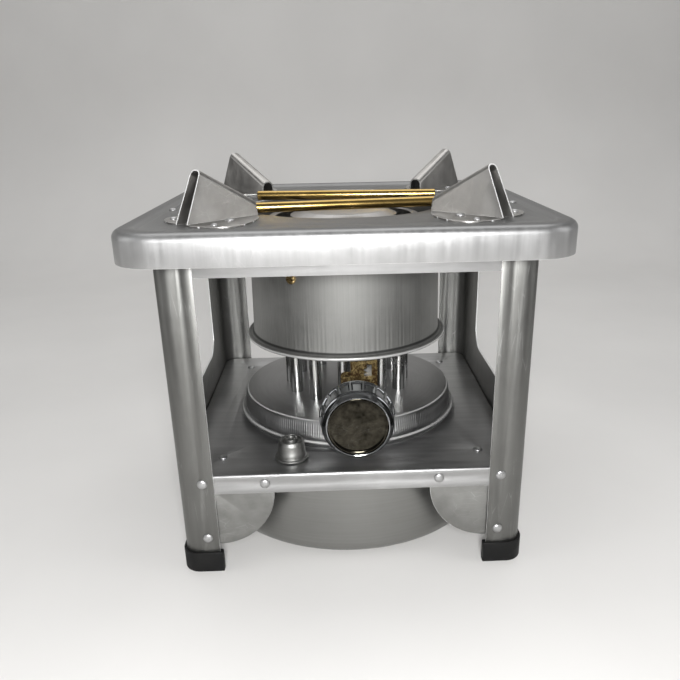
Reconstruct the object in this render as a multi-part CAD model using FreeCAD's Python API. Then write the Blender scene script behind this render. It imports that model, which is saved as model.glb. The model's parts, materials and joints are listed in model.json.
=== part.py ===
"""Square four-legged kerosene wick stove in sheet aluminium.

Millimetres, +Z up, front of the stove towards -Y.  The origin is on the floor, under the middle of
the stove.  Every physical piece is written to its own STEP file in parts/.
"""
import FreeCAD
import Part
import math
import os

V = FreeCAD.Vector
UP = V(0, 0, 1)
CENTRE = V(0, 0, 0)

# ---------------------------------------------------------------- sheet and fits
SHEET = 1.0                 # frame, shelf and top plate
THIN = 0.8                  # drum, tank, cover and sleeves
SEAT = 0.1                  # sheet pieces that lie against each other and are riveted
SNUG = 0.02                 # pieces pushed or soldered together
RUNNING = 0.05              # radial clearance of a turning shaft
SLIDING = 0.4               # clearance round a piece that slides freely
REST_GAP = 0.3              # under a loose piece that lies on another

# ---------------------------------------------------------------- wicks and tubes
WICK_COUNT = 12
WICK_CIRCLE = 44.0
WICK_FIRST_ANGLE = 303.0
RACK_SECTOR = 37.0          # degrees left free for the rack, before the first wick
WICK_RADIUS = 3.6
WICK_PROUD = 3.0            # above the burner base at rest
WICK_END = 6.7              # clear of the tank's bottom
TUBE_WALL = 0.5
TUBE_STAND = 57.7           # from the cover up to the burner base
TUBE_TAIL = 8.3             # below the cover's top
CARRIER_HEIGHT = 36.7       # above the tank's bottom
CARRIER_HALF_WIDTH = 8.0
COLLAR_WALL = 1.4
COLLAR_HEIGHT = 5.0

# ---------------------------------------------------------------- sleeves and drum
INNER_FLAME_GAP = 9.0       # from the wick circle in to the inner sleeve
OUTER_FLAME_GAP = 11.0      # from the wick circle out to the outer sleeve
SLEEVE_DROP = 7.4           # sleeves end this far below the well
SLEEVE_LIP = 5.0
SPREADER_OVERHANG = 4.0
SPREADER_RISE = 4.0
SPREADER_SOCKET = 4.0
BASE_INSIDE = 3.0           # burner base reaches in past the inner sleeve
BASE_OUTSIDE = 2.0          # and out past the outer sleeve
PIN_RADIUS = 1.5
PIN_HEIGHT = 10.0           # above the burner base
SLOT_COUNT = 20
SLOT_WIDTH = 3.0
SLOT_HEIGHT = 16.0
SLOT_START = 16.0
SLOT_PITCH = 22.0
SLOT_ROWS = 2
DRUM_GAP = 14.6             # between outer sleeve and drum
DRUM_TAPER = 1.2
DRUM_RIM = 4.8              # rolled rim stands out from the wall
DRUM_RIM_DROP = 13.6        # rim below the burner base
DRUM_FLARE = 5.6
DRUM_BEAD = 1.6
COLLAR_FLANGE = 10.4        # collar that hangs the drum from the plate
COLLAR_SKIRT = 10.0
SCREW_ANGLE = 238.4
SCREW_COUNT = 3
SCREW_SHANK = 1.9
SCREW_HEAD = 3.6
DRIVER_SLOT = 1.0
GUIDE_GAP = 1.8
GUIDE_DROP = 47.4           # guide ring below the well
GUIDE_HEIGHT = 13.0
NUT_FLATS = 7.0
NUT_HEIGHT = 2.6
SCREW_END = 2.2             # shank past the nut

# ---------------------------------------------------------------- tank and cover
TANK_BOTTOM = 3.3
TANK_DEPTH = 66.3
TANK_CORNER = 10.0
TANK_FOOT = 14.0            # width of the bowl's rounded foot, outside the flat base
SEAM_FOLD = 4.0             # edge of the top folded over the bowl
NECK_HEIGHT = 7.0
NECK_GAP = 1.1              # between the neck and the cover
TANK_LEDGE = 25.1           # tank stands out past the cover's bead
COVER_MARGIN = 35.6         # flat top outside the wick circle
COVER_TAPER = 1.8
COVER_HEIGHT = 20.1
COVER_EDGE = 3.2
COVER_BEAD = 2.1
COVER_BEAD_OUT = 3.0
COVER_BEAD_HEIGHT = 4.2     # above the shelf
FILLER_INSET = 10.05        # axis inside the tank's wall
FILLER_ANGLE = 245.9
FILLER_RADIUS = 6.5
FILLER_WALL = 1.2
FILLER_HEIGHT = 7.8         # neck above the shelf
CAP_HEIGHT = 14.8
CAP_FLANGE_RADIUS = 11.4
CAP_FLANGE = 2.0
CAP_BASE_RADIUS = 9.2
CAP_CROWN_RADIUS = 7.6
CAP_RECESS = 4.6
CAP_RECESS_DEPTH = 2.4
GASKET = 1.6

# ---------------------------------------------------------------- shelf and frame
SHELF_GAP = 1.6             # between tank and shelf
SHELF_FLANGE = 13.5
SHELF_EDGE = 1.8            # rounded upper edge of the tray
BURNER_HEIGHT = 83.4        # plate above the burner base
TANK_GAP = 5.5              # between the tank's wall and the outside of the frame
LEG_FLANGE = 24.2
LEG_CORNER = 10.0
WINDOW_WIDTH = 112.0
WINDOW_SILL = 27.8          # above the shelf
WINDOW_CORNER = 18.0
RAIL_DEPTH = 27.2
RAIL_FLANGE = 13.0
RAIL_FLANGE_HALF = 62.0     # half length of the flange, clear of the pot supports
LUG_REACH = 6.0             # outward flange that carries the top plate
LUG_LENGTH = 80.0
ARCH_CORNER = 26.0
FOOT_HEIGHT = 15.0
FOOT_WALL = 2.0
FOOT_FLOOR = 1.6
GUSSET_CLEAR = 4.7          # above the foot
GUSSET_TAB_WIDTH = 18.0
GUSSET_TAB_REACH = 32.0
GUSSET_REACH = 12.0         # width that lies behind the leg
RIVET_SHANK = 1.6
RIVET_HEAD = 3.3
RIVET_EDGE = 0.35
RIVET_DOME = 1.5
RIVET_TAIL = 0.9
LEG_RIVET_INSET = 7.4
LEG_RIVET_LOW = 6.0         # above the gusset's lowest point
LEG_RIVET_HIGH = 8.3        # above the shelf's flange
RAIL_RIVET_DROP = 9.0
FLANGE_RIVET_INSET = 5.7
FLANGE_RIVET_RISE = 6.9
SHELF_RIVET_INSET = 27.0

# ---------------------------------------------------------------- top plate
PLATE_OVERHANG = 20.0
PLATE_CORNER = 28.0
PLATE_SKIRT = 19.2
PLATE_ROLL = 5.0            # rolled upper edge
BORDER = 12.0               # flat rim outside the pressed pan
PAN_DEPTH = 1.5
PAN_SLOPE = 1.5
PAN_CORNER = 18.0
WELL_MARGIN = 4.5           # well outside the drum's collar
WELL_DEPTH = 1.5
RING_LAP = 3.0              # well's ring reaches this far under the plate
MOUTH_MARGIN = 0.9
PLATE_RIVET_INSET = 3.0
PLATE_RIVET_Y = 26.0
PLATE_RIVET_HEAD = 2.6

# ---------------------------------------------------------------- pot supports
SUPPORT_LENGTH = 53.5       # along the diagonal, from the well outwards
SUPPORT_LOW = 10.0
SUPPORT_HIGH = 31.2
SUPPORT_LEAN = 14.0         # the outer end leans in by this much at the ridge
SUPPORT_HALF = 6.2
SUPPORT_RIDGE = 4.6
LOBE_WIDTH = 25.0
LOBE_OUTLINE = ((0.16, 0.42), (0.47, 0.88), (0.77, 1.0), (0.97, 0.55))     # share of length, of width
INNER_RIVET_HEAD = 3.1
OUTER_RIVET_HEAD = 2.3
SUPPORT_RIVETS = ((0.51, 0.25, INNER_RIVET_HEAD), (0.84, 0.6, OUTER_RIVET_HEAD))     # shares of length, lobe
FLANK_WALL = 1.05           # wall of the support at its foot, in sheet thicknesses
RIDGE_WALL = 0.75           # and beside its rounded ridge
RIDGE_ROUND = 0.9           # rounding of the ridge, as a share of its half width

# ---------------------------------------------------------------- knob, pinion and rack
SHAFT_HEIGHT = 18.0         # above the cover
KNOB_X = 4.1
KNOB_INSET = 7.0            # rear of the knob behind the front of the frame
KNOB_DEPTH = 18.5
KNOB_REAR_RADIUS = 24.5
KNOB_FRONT_RADIUS = 21.0
KNOB_SHOULDER = 3.6
KNOB_FLUTES = 18
KNOB_FLUTE_WIDTH = 5.4
KNOB_FLUTE_DEPTH = 1.1
KNOB_WALL = 2.2
KNOB_FACE_RADIUS = 19.0
KNOB_FACE_DEPTH = 2.0
KNOB_HUB = 6.0
SHAFT_RADIUS = 2.5
PINION_TEETH = 15
PINION_PROUD = 0.7          # pinion is wider than the rack, each side
MODULE = 1.0
PRESSURE = 20.0
BACKLASH = 0.3
RACK_CLEAR = 17.4           # rear of the rack outside the wick circle
RACK_THICKNESS = 3.2
RACK_SPINE = 3.2
RACK_ABOVE = 17.7           # rack above the shaft
TEETH_BELOW = 24.3          # teeth below the shaft
RACK_TAIL = 1.5
TOWER_ABOVE = 22.7          # top of the bracket above the shaft
TOWER_STEP = 10.7
TOWER_GAP = 1.9             # between the rack and the front cheek
TOWER_DEPTH = 9.0
TOWER_LEFT = 9.6            # from the shaft
TOWER_RIGHT = 15.9
TOWER_NARROW = 2.6
TOWER_TAB = 5.5
TOWER_RIVET_INSET = 4.0
TOWER_RIVET_HEAD = 2.4
SEAL_LIP = 2.5
SEAL_HEIGHT = 2.0
BUSH_RADIUS = 4.0
BUSH_FLANGE = 5.5
BUSH_COLLAR = 1.5
CLIP_RADIUS = 4.6
CLIP_THICKNESS = 0.8
CLIP_MOUTH = 2.4
SHAFT_TAIL = 1.2

# ---------------------------------------------------------------- loose bars
ROD_RADIUS = 3.5
ROD_SHORT = 5.0             # shorter than the mouth is wide
ROD_CHAMFER = 0.5
ROD_X = 2.5
FRONT_ROD_Y = -33.0
FRONT_ROD_YAW = 7.0
REAR_ROD_Y = 26.0
REAR_ROD_YAW = -5.0

# ---------------------------------------------------------------- radii that follow
TUBE_BORE = WICK_RADIUS + SLIDING
TUBE_RADIUS = TUBE_BORE + TUBE_WALL
WICK_STEP = (360.0 - RACK_SECTOR) / (WICK_COUNT - 1)
INNER_SLEEVE = WICK_CIRCLE - INNER_FLAME_GAP
OUTER_SLEEVE = WICK_CIRCLE + OUTER_FLAME_GAP
SPREADER_RADIUS = INNER_SLEEVE + SPREADER_OVERHANG
BASE_INNER = INNER_SLEEVE - BASE_INSIDE
BASE_OUTER = OUTER_SLEEVE + BASE_OUTSIDE
GUIDE_RADIUS = OUTER_SLEEVE + GUIDE_GAP
DRUM_TOP_RADIUS = OUTER_SLEEVE + DRUM_GAP
DRUM_LOW_RADIUS = DRUM_TOP_RADIUS + DRUM_TAPER
DRUM_RIM_RADIUS = DRUM_LOW_RADIUS + DRUM_RIM
COLLAR_RADIUS = DRUM_TOP_RADIUS + COLLAR_FLANGE
MOUTH_RADIUS = DRUM_TOP_RADIUS + MOUTH_MARGIN
WELL_RADIUS = COLLAR_RADIUS + WELL_MARGIN
COVER_RADIUS = WICK_CIRCLE + COVER_MARGIN
COVER_LOW_RADIUS = COVER_RADIUS + COVER_TAPER
COVER_BEAD_RADIUS = COVER_LOW_RADIUS + COVER_BEAD_OUT
NECK_RADIUS = COVER_LOW_RADIUS - THIN - NECK_GAP
TANK_RADIUS = COVER_BEAD_RADIUS + TANK_LEDGE
TANK_BASE_RADIUS = TANK_RADIUS - TANK_FOOT
FILLER_X = (TANK_RADIUS - FILLER_INSET) * math.cos(math.radians(FILLER_ANGLE))
FILLER_Y = (TANK_RADIUS - FILLER_INSET) * math.sin(math.radians(FILLER_ANGLE))
FRAME_HALF = TANK_RADIUS + TANK_GAP
FRAME_INSIDE = FRAME_HALF - SHEET
LEG_EDGE = FRAME_HALF - LEG_FLANGE
SHELF_HALF = FRAME_INSIDE - SEAT
GUSSET_FACE = SHELF_HALF - SHEET
PLATE_HALF = FRAME_HALF + PLATE_OVERHANG
SUPPORT_INNER = WELL_RADIUS
SUPPORT_OUTER = SUPPORT_INNER + SUPPORT_LENGTH
ROD_LENGTH = 2 * MOUTH_RADIUS - ROD_SHORT

# ---------------------------------------------------------------- heights that follow
TANK_SHOULDER = TANK_BOTTOM + TANK_DEPTH
NECK_TOP = TANK_SHOULDER + NECK_HEIGHT
SHELF_BOTTOM = TANK_SHOULDER + SHELF_GAP
SHELF_TOP = SHELF_BOTTOM + SHEET
FLANGE_BOTTOM = SHELF_TOP - SHELF_FLANGE
GUSSET_RADIUS = FLANGE_BOTTOM - FOOT_HEIGHT - GUSSET_CLEAR
COVER_TOP = SHELF_TOP + COVER_HEIGHT
COVER_BEAD_Z = SHELF_TOP + COVER_BEAD_HEIGHT
FILLER_TOP = SHELF_TOP + FILLER_HEIGHT
CAP_TOP = SHELF_TOP + CAP_HEIGHT
WICK_BOTTOM = TANK_BOTTOM + WICK_END
CARRIER_Z = TANK_BOTTOM + CARRIER_HEIGHT
KNOB_Z = COVER_TOP + SHAFT_HEIGHT
TUBE_BOTTOM = COVER_TOP - TUBE_TAIL
BASE_TOP = COVER_TOP + TUBE_STAND
TUBE_TOP = BASE_TOP + THIN
WICK_TOP = BASE_TOP + WICK_PROUD
SLEEVE_FOOT = BASE_TOP + REST_GAP
PIN_Z = BASE_TOP + PIN_HEIGHT
DRUM_RIM_Z = BASE_TOP - DRUM_RIM_DROP
DRUM_FLARE_Z = DRUM_RIM_Z + DRUM_FLARE
PLATE_TOP = BASE_TOP + BURNER_HEIGHT
PAN_Z = PLATE_TOP - PAN_DEPTH
WELL_Z = PAN_Z - WELL_DEPTH
DRUM_TOP = WELL_Z - SHEET
SLEEVE_TOP = WELL_Z - SLEEVE_DROP
GUIDE_Z = WELL_Z - GUIDE_DROP
SCREW_Z = GUIDE_Z + GUIDE_HEIGHT / 2.0
FRAME_TOP = PAN_Z - SHEET
WINDOW_BOTTOM = SHELF_TOP + WINDOW_SILL

# ---------------------------------------------------------------- places of the lift that follow
PITCH_RADIUS = MODULE * PINION_TEETH / 2.0
ADDENDUM = MODULE
DEDENDUM = 1.25 * MODULE
RACK_LINE = KNOB_X + PITCH_RADIUS
RACK_TIP = RACK_LINE - ADDENDUM
RACK_ROOT = RACK_LINE + DEDENDUM
RACK_BACK = RACK_ROOT + RACK_SPINE
RACK_REAR = -WICK_CIRCLE - RACK_CLEAR
RACK_FRONT = RACK_REAR - RACK_THICKNESS
RACK_TOP = KNOB_Z + RACK_ABOVE
TOWER_FRONT = RACK_FRONT - TOWER_GAP - SHEET
TOWER_REAR = TOWER_FRONT + TOWER_DEPTH + SHEET
TOWER_TOP = KNOB_Z + TOWER_ABOVE
KNOB_REAR = KNOB_INSET - FRAME_HALF
KNOB_FRONT = KNOB_REAR - KNOB_DEPTH
OVERCUT = 5.0               # how far a cutting tool runs past the sheet it cuts


# ---------------------------------------------------------------- helpers
def box(x0, x1, y0, y1, z0, z1):
    return Part.makeBox(x1 - x0, y1 - y0, z1 - z0, V(x0, y0, z0))


def post(radius, z0, z1, x=0.0, y=0.0):
    """Upright cylinder."""
    return Part.makeCylinder(radius, z1 - z0, V(x, y, z0))


def spindle(radius, y0, y1, x, z):
    """Cylinder along Y."""
    return Part.makeCylinder(radius, y1 - y0, V(x, y0, z), V(0, 1, 0))


def rounded_wire(corners, place):
    """Closed wire through (u, v, radius) corners, each rounded by its radius; place maps to 3-D."""
    ends = []
    count = len(corners)
    for index, (u, v, radius) in enumerate(corners):
        here = V(u, v, 0)
        before = V(corners[index - 1][0], corners[index - 1][1], 0) - here
        after = V(corners[(index + 1) % count][0], corners[(index + 1) % count][1], 0) - here
        before.normalize()
        after.normalize()
        if radius <= 0:
            ends.append((here, None, here))
            continue
        half = before.getAngle(after) / 2.0
        run = radius / math.tan(half)
        bisector = (before + after).normalize()
        middle = here + bisector * (radius / math.sin(half) - radius)
        ends.append((here + before * run, middle, here + after * run))
    edges = []
    for index, (start, middle, end) in enumerate(ends):
        if middle is not None:
            edges.append(Part.Arc(place(start), place(middle), place(end)).toShape())
        following = ends[(index + 1) % count][0]
        if (following - end).Length > 1e-6:
            edges.append(Part.LineSegment(place(end), place(following)).toShape())
    return Part.Wire(edges)


def plan(z):
    return lambda p: V(p.x, p.y, z)


def section(p):
    """Radius and height, for a revolved section."""
    return V(p.x, 0, p.y)


def revolved(corners):
    return Part.Face(rounded_wire(corners, section)).revolve(CENTRE, UP, 360)


def rounded_square(half, corner, z):
    return rounded_wire([(-half, -half, corner), (half, -half, corner), (half, half, corner),
                         (-half, half, corner)], plan(z))


def slab(half, corner, z0, z1):
    return Part.Face(rounded_square(half, corner, z0)).extrude(V(0, 0, z1 - z0))


def dish(top_half, low_half, corner, z_top, z_low):
    """Tapered rounded square between two heights."""
    low = rounded_square(low_half, corner - (top_half - low_half), z_low)
    return Part.makeLoft([low, rounded_square(top_half, corner, z_top)], True, True)


def turned(shape, angle):
    copy = shape.copy()
    copy.rotate(CENTRE, UP, angle)
    return copy


def around(shape, count, first=0.0):
    return [turned(shape, first + 360.0 * index / count) for index in range(count)]


def moved(shape, x=0.0, y=0.0, z=0.0):
    copy = shape.copy()
    copy.translate(V(x, y, z))
    return copy


def mirrored(shape, in_x, in_y):
    """Copy for another corner of the stove."""
    copy = shape.copy()
    if in_x:
        copy = copy.mirror(CENTRE, V(1, 0, 0))
    if in_y:
        copy = copy.mirror(CENTRE, V(0, 1, 0))
    return copy


def rivet(head, grip):
    """Domed rivet: the underside of the head is at the origin and the shank points to -Z."""
    dome = revolved([(0, 0, 0), (head, 0, 0), (head, RIVET_EDGE, 0), (head * 0.6, RIVET_DOME, 0),
                     (0, RIVET_DOME, 0)])
    shank = post(RIVET_SHANK, -grip, 0)
    foot = post(head * 0.8, -grip - RIVET_TAIL, -grip)
    return dome.fuse([shank, foot]).removeSplitter()


def facing(shape, normal, at):
    """Turns a piece made along +Z so that it points along normal, at a place."""
    copy = shape.copy()
    copy.Placement = FreeCAD.Placement(at, FreeCAD.Rotation(UP, normal))
    return copy


# ---------------------------------------------------------------- rivet places
def front_rivets():
    """(x, z, grip, face) of the rivets through the left half of the front."""
    behind_leg = FRAME_HALF - GUSSET_FACE + SHEET
    behind_flange = SHELF_HALF - GUSSET_FACE + SHEET
    leg_x = -LEG_EDGE - LEG_RIVET_INSET
    flange_x = -LEG_EDGE + GUSSET_RADIUS - FLANGE_RIVET_INSET
    return [(leg_x, FLANGE_BOTTOM - GUSSET_RADIUS + LEG_RIVET_LOW, behind_leg, FRAME_HALF),
            (leg_x, FLANGE_BOTTOM + LEG_RIVET_HIGH, behind_leg, FRAME_HALF),
            (flange_x, FLANGE_BOTTOM + FLANGE_RIVET_RISE, behind_flange, SHELF_HALF),
            (leg_x, FRAME_TOP - RAIL_RIVET_DROP, 2 * SHEET + SEAT, FRAME_HALF)]


def shelf_rivet():
    """Distance of the tray's corner rivets from the middle, along X and Y."""
    return FRAME_HALF - SHELF_RIVET_INSET


def frame_holes():
    """Rivet holes of all four corners, to be cut from the sheets that the rivets hold."""
    radius = RIVET_SHANK + RUNNING
    corner = [spindle(radius, -FRAME_HALF - OVERCUT, -GUSSET_FACE + OVERCUT, x, z)
              for x, z, _, _ in front_rivets()]
    corner.append(post(radius, SHELF_TOP - OVERCUT, SHELF_TOP + OVERCUT, -shelf_rivet(), -shelf_rivet()))
    holes = []
    for in_x in (False, True):
        for in_y in (False, True):
            holes += [mirrored(hole, in_x, in_y) for hole in corner]
    return holes


def frame_rivets():
    corner = []
    for x, z, grip, face in front_rivets():
        corner.append(facing(rivet(RIVET_HEAD, grip), V(0, -1, 0), V(x, -face, z)))
    corner.append(moved(rivet(RIVET_HEAD, 2 * SHEET), -shelf_rivet(), -shelf_rivet(), SHELF_TOP))
    return [mirrored(piece, in_x, in_y) for in_x in (False, True) for in_y in (False, True)
            for piece in corner]


def plate_rivet_places():
    across = FRAME_HALF + PLATE_RIVET_INSET
    return [(side * across, end * PLATE_RIVET_Y) for side in (-1, 1) for end in (-1, 1)]


def plate_rivets():
    return [moved(rivet(PLATE_RIVET_HEAD, 2 * SHEET), x, y, PAN_Z) for x, y in plate_rivet_places()]


def plate_rivet_holes():
    return [post(RIVET_SHANK + RUNNING, PAN_Z - OVERCUT, PAN_Z + OVERCUT, x, y)
            for x, y in plate_rivet_places()]


# ---------------------------------------------------------------- frame
def side_panel():
    """Left side: two legs, skirt and window folded from one sheet."""
    out = FRAME_HALF
    inn = FRAME_INSIDE
    profile = rounded_wire([(-LEG_EDGE, -out, 0), (-out, -out, LEG_CORNER), (-out, out, LEG_CORNER),
                            (-LEG_EDGE, out, 0), (-LEG_EDGE, inn, 0), (-inn, inn, LEG_CORNER - SHEET),
                            (-inn, -inn, LEG_CORNER - SHEET), (-LEG_EDGE, -inn, 0)],
                           plan(FOOT_FLOOR))
    sheet = Part.Face(profile).extrude(V(0, 0, FRAME_TOP - FOOT_FLOOR))
    across = lambda p: V(-out - OVERCUT, p.x, p.y)
    half = WINDOW_WIDTH / 2.0
    top = FRAME_TOP - RAIL_DEPTH
    window = Part.Face(rounded_wire([(-half, WINDOW_BOTTOM, WINDOW_CORNER),
                                     (half, WINDOW_BOTTOM, WINDOW_CORNER),
                                     (half, top, WINDOW_CORNER / 2), (-half, top, WINDOW_CORNER / 2)],
                                    across))
    arch = Part.Face(rounded_wire([(-LEG_EDGE, -OVERCUT, 0), (LEG_EDGE, -OVERCUT, 0),
                                   (LEG_EDGE, FLANGE_BOTTOM, ARCH_CORNER),
                                   (-LEG_EDGE, FLANGE_BOTTOM, ARCH_CORNER)], across))
    cuts = [face.extrude(V(2 * OVERCUT, 0, 0)) for face in (window, arch)]
    lug = box(-out - LUG_REACH, -inn, -LUG_LENGTH / 2, LUG_LENGTH / 2, FRAME_TOP - SHEET, FRAME_TOP)
    return sheet.cut(cuts).fuse(lug).cut(frame_holes() + plate_rivet_holes())


def front_rail():
    """Angle between the legs, right under the top plate."""
    end = FRAME_INSIDE - LEG_CORNER
    web = box(-end, end, -FRAME_INSIDE, -FRAME_INSIDE + SHEET, FRAME_TOP - RAIL_DEPTH, FRAME_TOP)
    lip = box(-RAIL_FLANGE_HALF, RAIL_FLANGE_HALF, -FRAME_INSIDE, -FRAME_INSIDE + RAIL_FLANGE,
              FRAME_TOP - SHEET, FRAME_TOP)
    return web.fuse(lip).removeSplitter().cut(frame_holes())


def shelf():
    """Tray with a turned-down flange, a round hole for the tank neck and one for the filler."""
    corner = LEG_CORNER
    outer = slab(SHELF_HALF, corner, FLANGE_BOTTOM, SHELF_TOP)
    edges = [edge for edge in outer.Edges if edge.BoundBox.ZMin > SHELF_TOP - 0.01]
    outer = outer.makeFillet(SHELF_EDGE, edges)
    inner = slab(SHELF_HALF - SHEET, corner - SHEET, FLANGE_BOTTOM - OVERCUT, SHELF_BOTTOM)
    neck = post(NECK_RADIUS + SLIDING, FLANGE_BOTTOM, SHELF_TOP + OVERCUT)
    filler = post(FILLER_RADIUS + SLIDING, FLANGE_BOTTOM, SHELF_TOP + OVERCUT, FILLER_X, FILLER_Y)
    return outer.cut([inner, neck, filler] + frame_holes())


def gusset():
    """Front left quarter-disc plate with a tab folded back under the shelf."""
    left = -LEG_EDGE - GUSSET_REACH
    right = -LEG_EDGE + GUSSET_RADIUS
    low = FLANGE_BOTTOM - GUSSET_RADIUS
    turn = GUSSET_RADIUS * math.sqrt(0.5)
    front = -GUSSET_FACE
    place = lambda x, z: V(x, front, z)
    bend = Part.Arc(place(right, FLANGE_BOTTOM), place(-LEG_EDGE + turn, FLANGE_BOTTOM - turn),
                    place(-LEG_EDGE, low)).toShape()
    path = [place(-LEG_EDGE, low), place(left, low), place(left, SHELF_BOTTOM),
            place(right, SHELF_BOTTOM), place(right, FLANGE_BOTTOM)]
    lines = [Part.LineSegment(a, b).toShape() for a, b in zip(path, path[1:])]
    web = Part.Face(Part.Wire([bend] + lines)).extrude(V(0, SHEET, 0))
    middle = -shelf_rivet()
    tab = box(middle - GUSSET_TAB_WIDTH / 2, middle + GUSSET_TAB_WIDTH / 2, front,
              front + GUSSET_TAB_REACH, SHELF_BOTTOM - SHEET, SHELF_BOTTOM)
    return web.fuse(tab).removeSplitter().cut(frame_holes())


def foot():
    """Front left rubber shoe over the end of the leg."""
    out = FRAME_HALF
    inn = FRAME_INSIDE
    wall = FOOT_WALL
    edge = LEG_EDGE

    def angle(grow, z0, z1):
        inner_corner = max(LEG_CORNER - SHEET - grow, 1.0)
        outline = rounded_wire([(-edge + grow, -out - grow, 0),
                                (-out - grow, -out - grow, LEG_CORNER + grow),
                                (-out - grow, -edge + grow, 0), (-inn + grow, -edge + grow, 0),
                                (-inn + grow, -inn + grow, inner_corner),
                                (-edge + grow, -inn + grow, 0)], plan(z0))
        return Part.Face(outline).extrude(V(0, 0, z1 - z0))

    return angle(wall, 0, FOOT_HEIGHT).cut(angle(0.0, FOOT_FLOOR, FOOT_HEIGHT + OVERCUT))


# ---------------------------------------------------------------- top plate
def top_plate():
    """Pressed plate: rolled skirt, shallow pan, turned edge round the well."""
    half = PLATE_HALF
    low = PLATE_TOP - PLATE_SKIRT

    def shell(shrink, z0, z1, roll):
        solid = slab(half - shrink, PLATE_CORNER - shrink, z0, z1)
        edges = [edge for edge in solid.Edges if edge.BoundBox.ZMin > z1 - 0.01]
        return solid.makeFillet(roll, edges)

    skin = shell(0, low, PLATE_TOP, PLATE_ROLL)
    skin = skin.cut(shell(SHEET, low - OVERCUT, PLATE_TOP - SHEET, PLATE_ROLL - SHEET))
    pan_half = half - BORDER
    floor_half = pan_half - PAN_SLOPE
    under = dish(pan_half + SHEET, floor_half + SHEET, PAN_CORNER + SHEET, PLATE_TOP - SHEET,
                 PAN_Z - SHEET)
    over = dish(pan_half, floor_half, PAN_CORNER, PLATE_TOP, PAN_Z)
    edge = WELL_Z + SEAT
    collar = revolved([(0, PAN_Z - SHEET, 0), (WELL_RADIUS + 1.5 * SHEET, PAN_Z - SHEET, 0),
                       (WELL_RADIUS + SHEET, edge, 0), (0, edge, 0)])
    well = revolved([(0, PAN_Z, 0), (WELL_RADIUS + SHEET / 2, PAN_Z, 0),
                     (WELL_RADIUS, edge, 0), (WELL_RADIUS, edge - OVERCUT, 0), (0, edge - OVERCUT, 0)])
    pressed = skin.fuse([under, collar]).cut([over, well])
    return pressed.cut(plate_rivet_holes() + support_rivet_holes())


def well_ring():
    """Flat ring under the plate's turned edge: the floor of the well, round the burner mouth."""
    ring = post(WELL_RADIUS + RING_LAP, WELL_Z - SHEET, WELL_Z)
    return ring.cut(post(MOUTH_RADIUS, WELL_Z - OVERCUT, WELL_Z + OVERCUT))


# ---------------------------------------------------------------- pot supports
def support_body(shrink):
    """Folded ridge that rises outwards, made along local X with its base at z = 0."""
    slope = (SUPPORT_HIGH - SUPPORT_LOW) / (SUPPORT_OUTER - SUPPORT_LEAN - SUPPORT_INNER)
    wires = []
    for along in (SUPPORT_INNER - OVERCUT, SUPPORT_OUTER + OVERCUT):
        height = SUPPORT_LOW + slope * (along - SUPPORT_INNER)
        half = SUPPORT_HALF - shrink * FLANK_WALL
        ridge = SUPPORT_RIDGE - shrink * RIDGE_WALL
        base = -shrink
        corners = [(-half, base, 0), (half, base, 0), (ridge, height - shrink, ridge * RIDGE_ROUND),
                   (-ridge, height - shrink, ridge * RIDGE_ROUND)]
        wires.append(rounded_wire(corners, lambda p, x=along: V(x, p.x, p.y)))
    return Part.makeLoft(wires, True, True)


def support_ends():
    """Region between the upright inner end and the leaning outer end."""
    tall = SUPPORT_HIGH + OVERCUT
    lean = SUPPORT_LEAN / SUPPORT_HIGH
    aside = SUPPORT_HALF + OVERCUT
    corners = [(SUPPORT_INNER, -OVERCUT, 0), (SUPPORT_OUTER + OVERCUT * lean, -OVERCUT, 0),
               (SUPPORT_OUTER - tall * lean, tall, 0), (SUPPORT_INNER, tall, 0)]
    wire = rounded_wire(corners, lambda p: V(p.x, -aside, p.y))
    return Part.Face(wire).extrude(V(0, 2 * aside, 0))


def support_lobe():
    """Curved foot flange on the -Y side of the local X axis."""
    start = V(SUPPORT_INNER, -SUPPORT_HALF + SHEET, 0)
    stop = V(SUPPORT_OUTER, -SUPPORT_HALF + SHEET, 0)
    bulge = [start]
    for share, reach in LOBE_OUTLINE:
        bulge.append(V(SUPPORT_INNER + share * SUPPORT_LENGTH, -SUPPORT_HALF - reach * LOBE_WIDTH, 0))
    bulge.append(stop)
    curve = Part.BSplineCurve()
    curve.interpolate(bulge)
    wire = Part.Wire([curve.toShape(), Part.LineSegment(stop, start).toShape()])
    return Part.Face(wire).extrude(V(0, 0, SHEET))


def support_rivet_spots():
    """(along, across, head radius) of the rivets of one support."""
    return [(SUPPORT_INNER + share * SUPPORT_LENGTH, side * (SUPPORT_HALF + reach * LOBE_WIDTH), head)
            for share, reach, head in SUPPORT_RIVETS for side in (-1, 1)]


def pot_support():
    """Support along local X; it is turned to a corner afterwards."""
    ridge = support_body(0.0).cut(support_body(SHEET)).common(support_ends())
    lobe = support_lobe()
    other = lobe.mirror(CENTRE, V(0, 1, 0))
    holes = [post(RIVET_SHANK + RUNNING, -OVERCUT, OVERCUT, along, across)
             for along, across, _ in support_rivet_spots()]
    inside = SUPPORT_HALF - FLANK_WALL * SHEET
    tunnel = box(SUPPORT_INNER - OVERCUT, SUPPORT_OUTER + OVERCUT, -inside, inside, -OVERCUT, SHEET)
    piece = ridge.fuse([lobe.cut(tunnel), other.cut(tunnel)]).cut(holes)
    return moved(piece, z=PAN_Z)


CORNERS = {"front_left": 225.0, "front_right": 315.0, "rear_right": 45.0, "rear_left": 135.0}


def support_rivets():
    pieces = []
    for angle in CORNERS.values():
        for along, across, head in support_rivet_spots():
            one = moved(rivet(head, 2 * SHEET), along, across, PAN_Z + SHEET)
            pieces.append(turned(one, angle))
    return pieces


def support_rivet_holes():
    holes = []
    for angle in CORNERS.values():
        for along, across, _ in support_rivet_spots():
            hole = post(RIVET_SHANK + RUNNING, PAN_Z - OVERCUT, PAN_Z + OVERCUT, along, across)
            holes.append(turned(hole, angle))
    return holes


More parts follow.
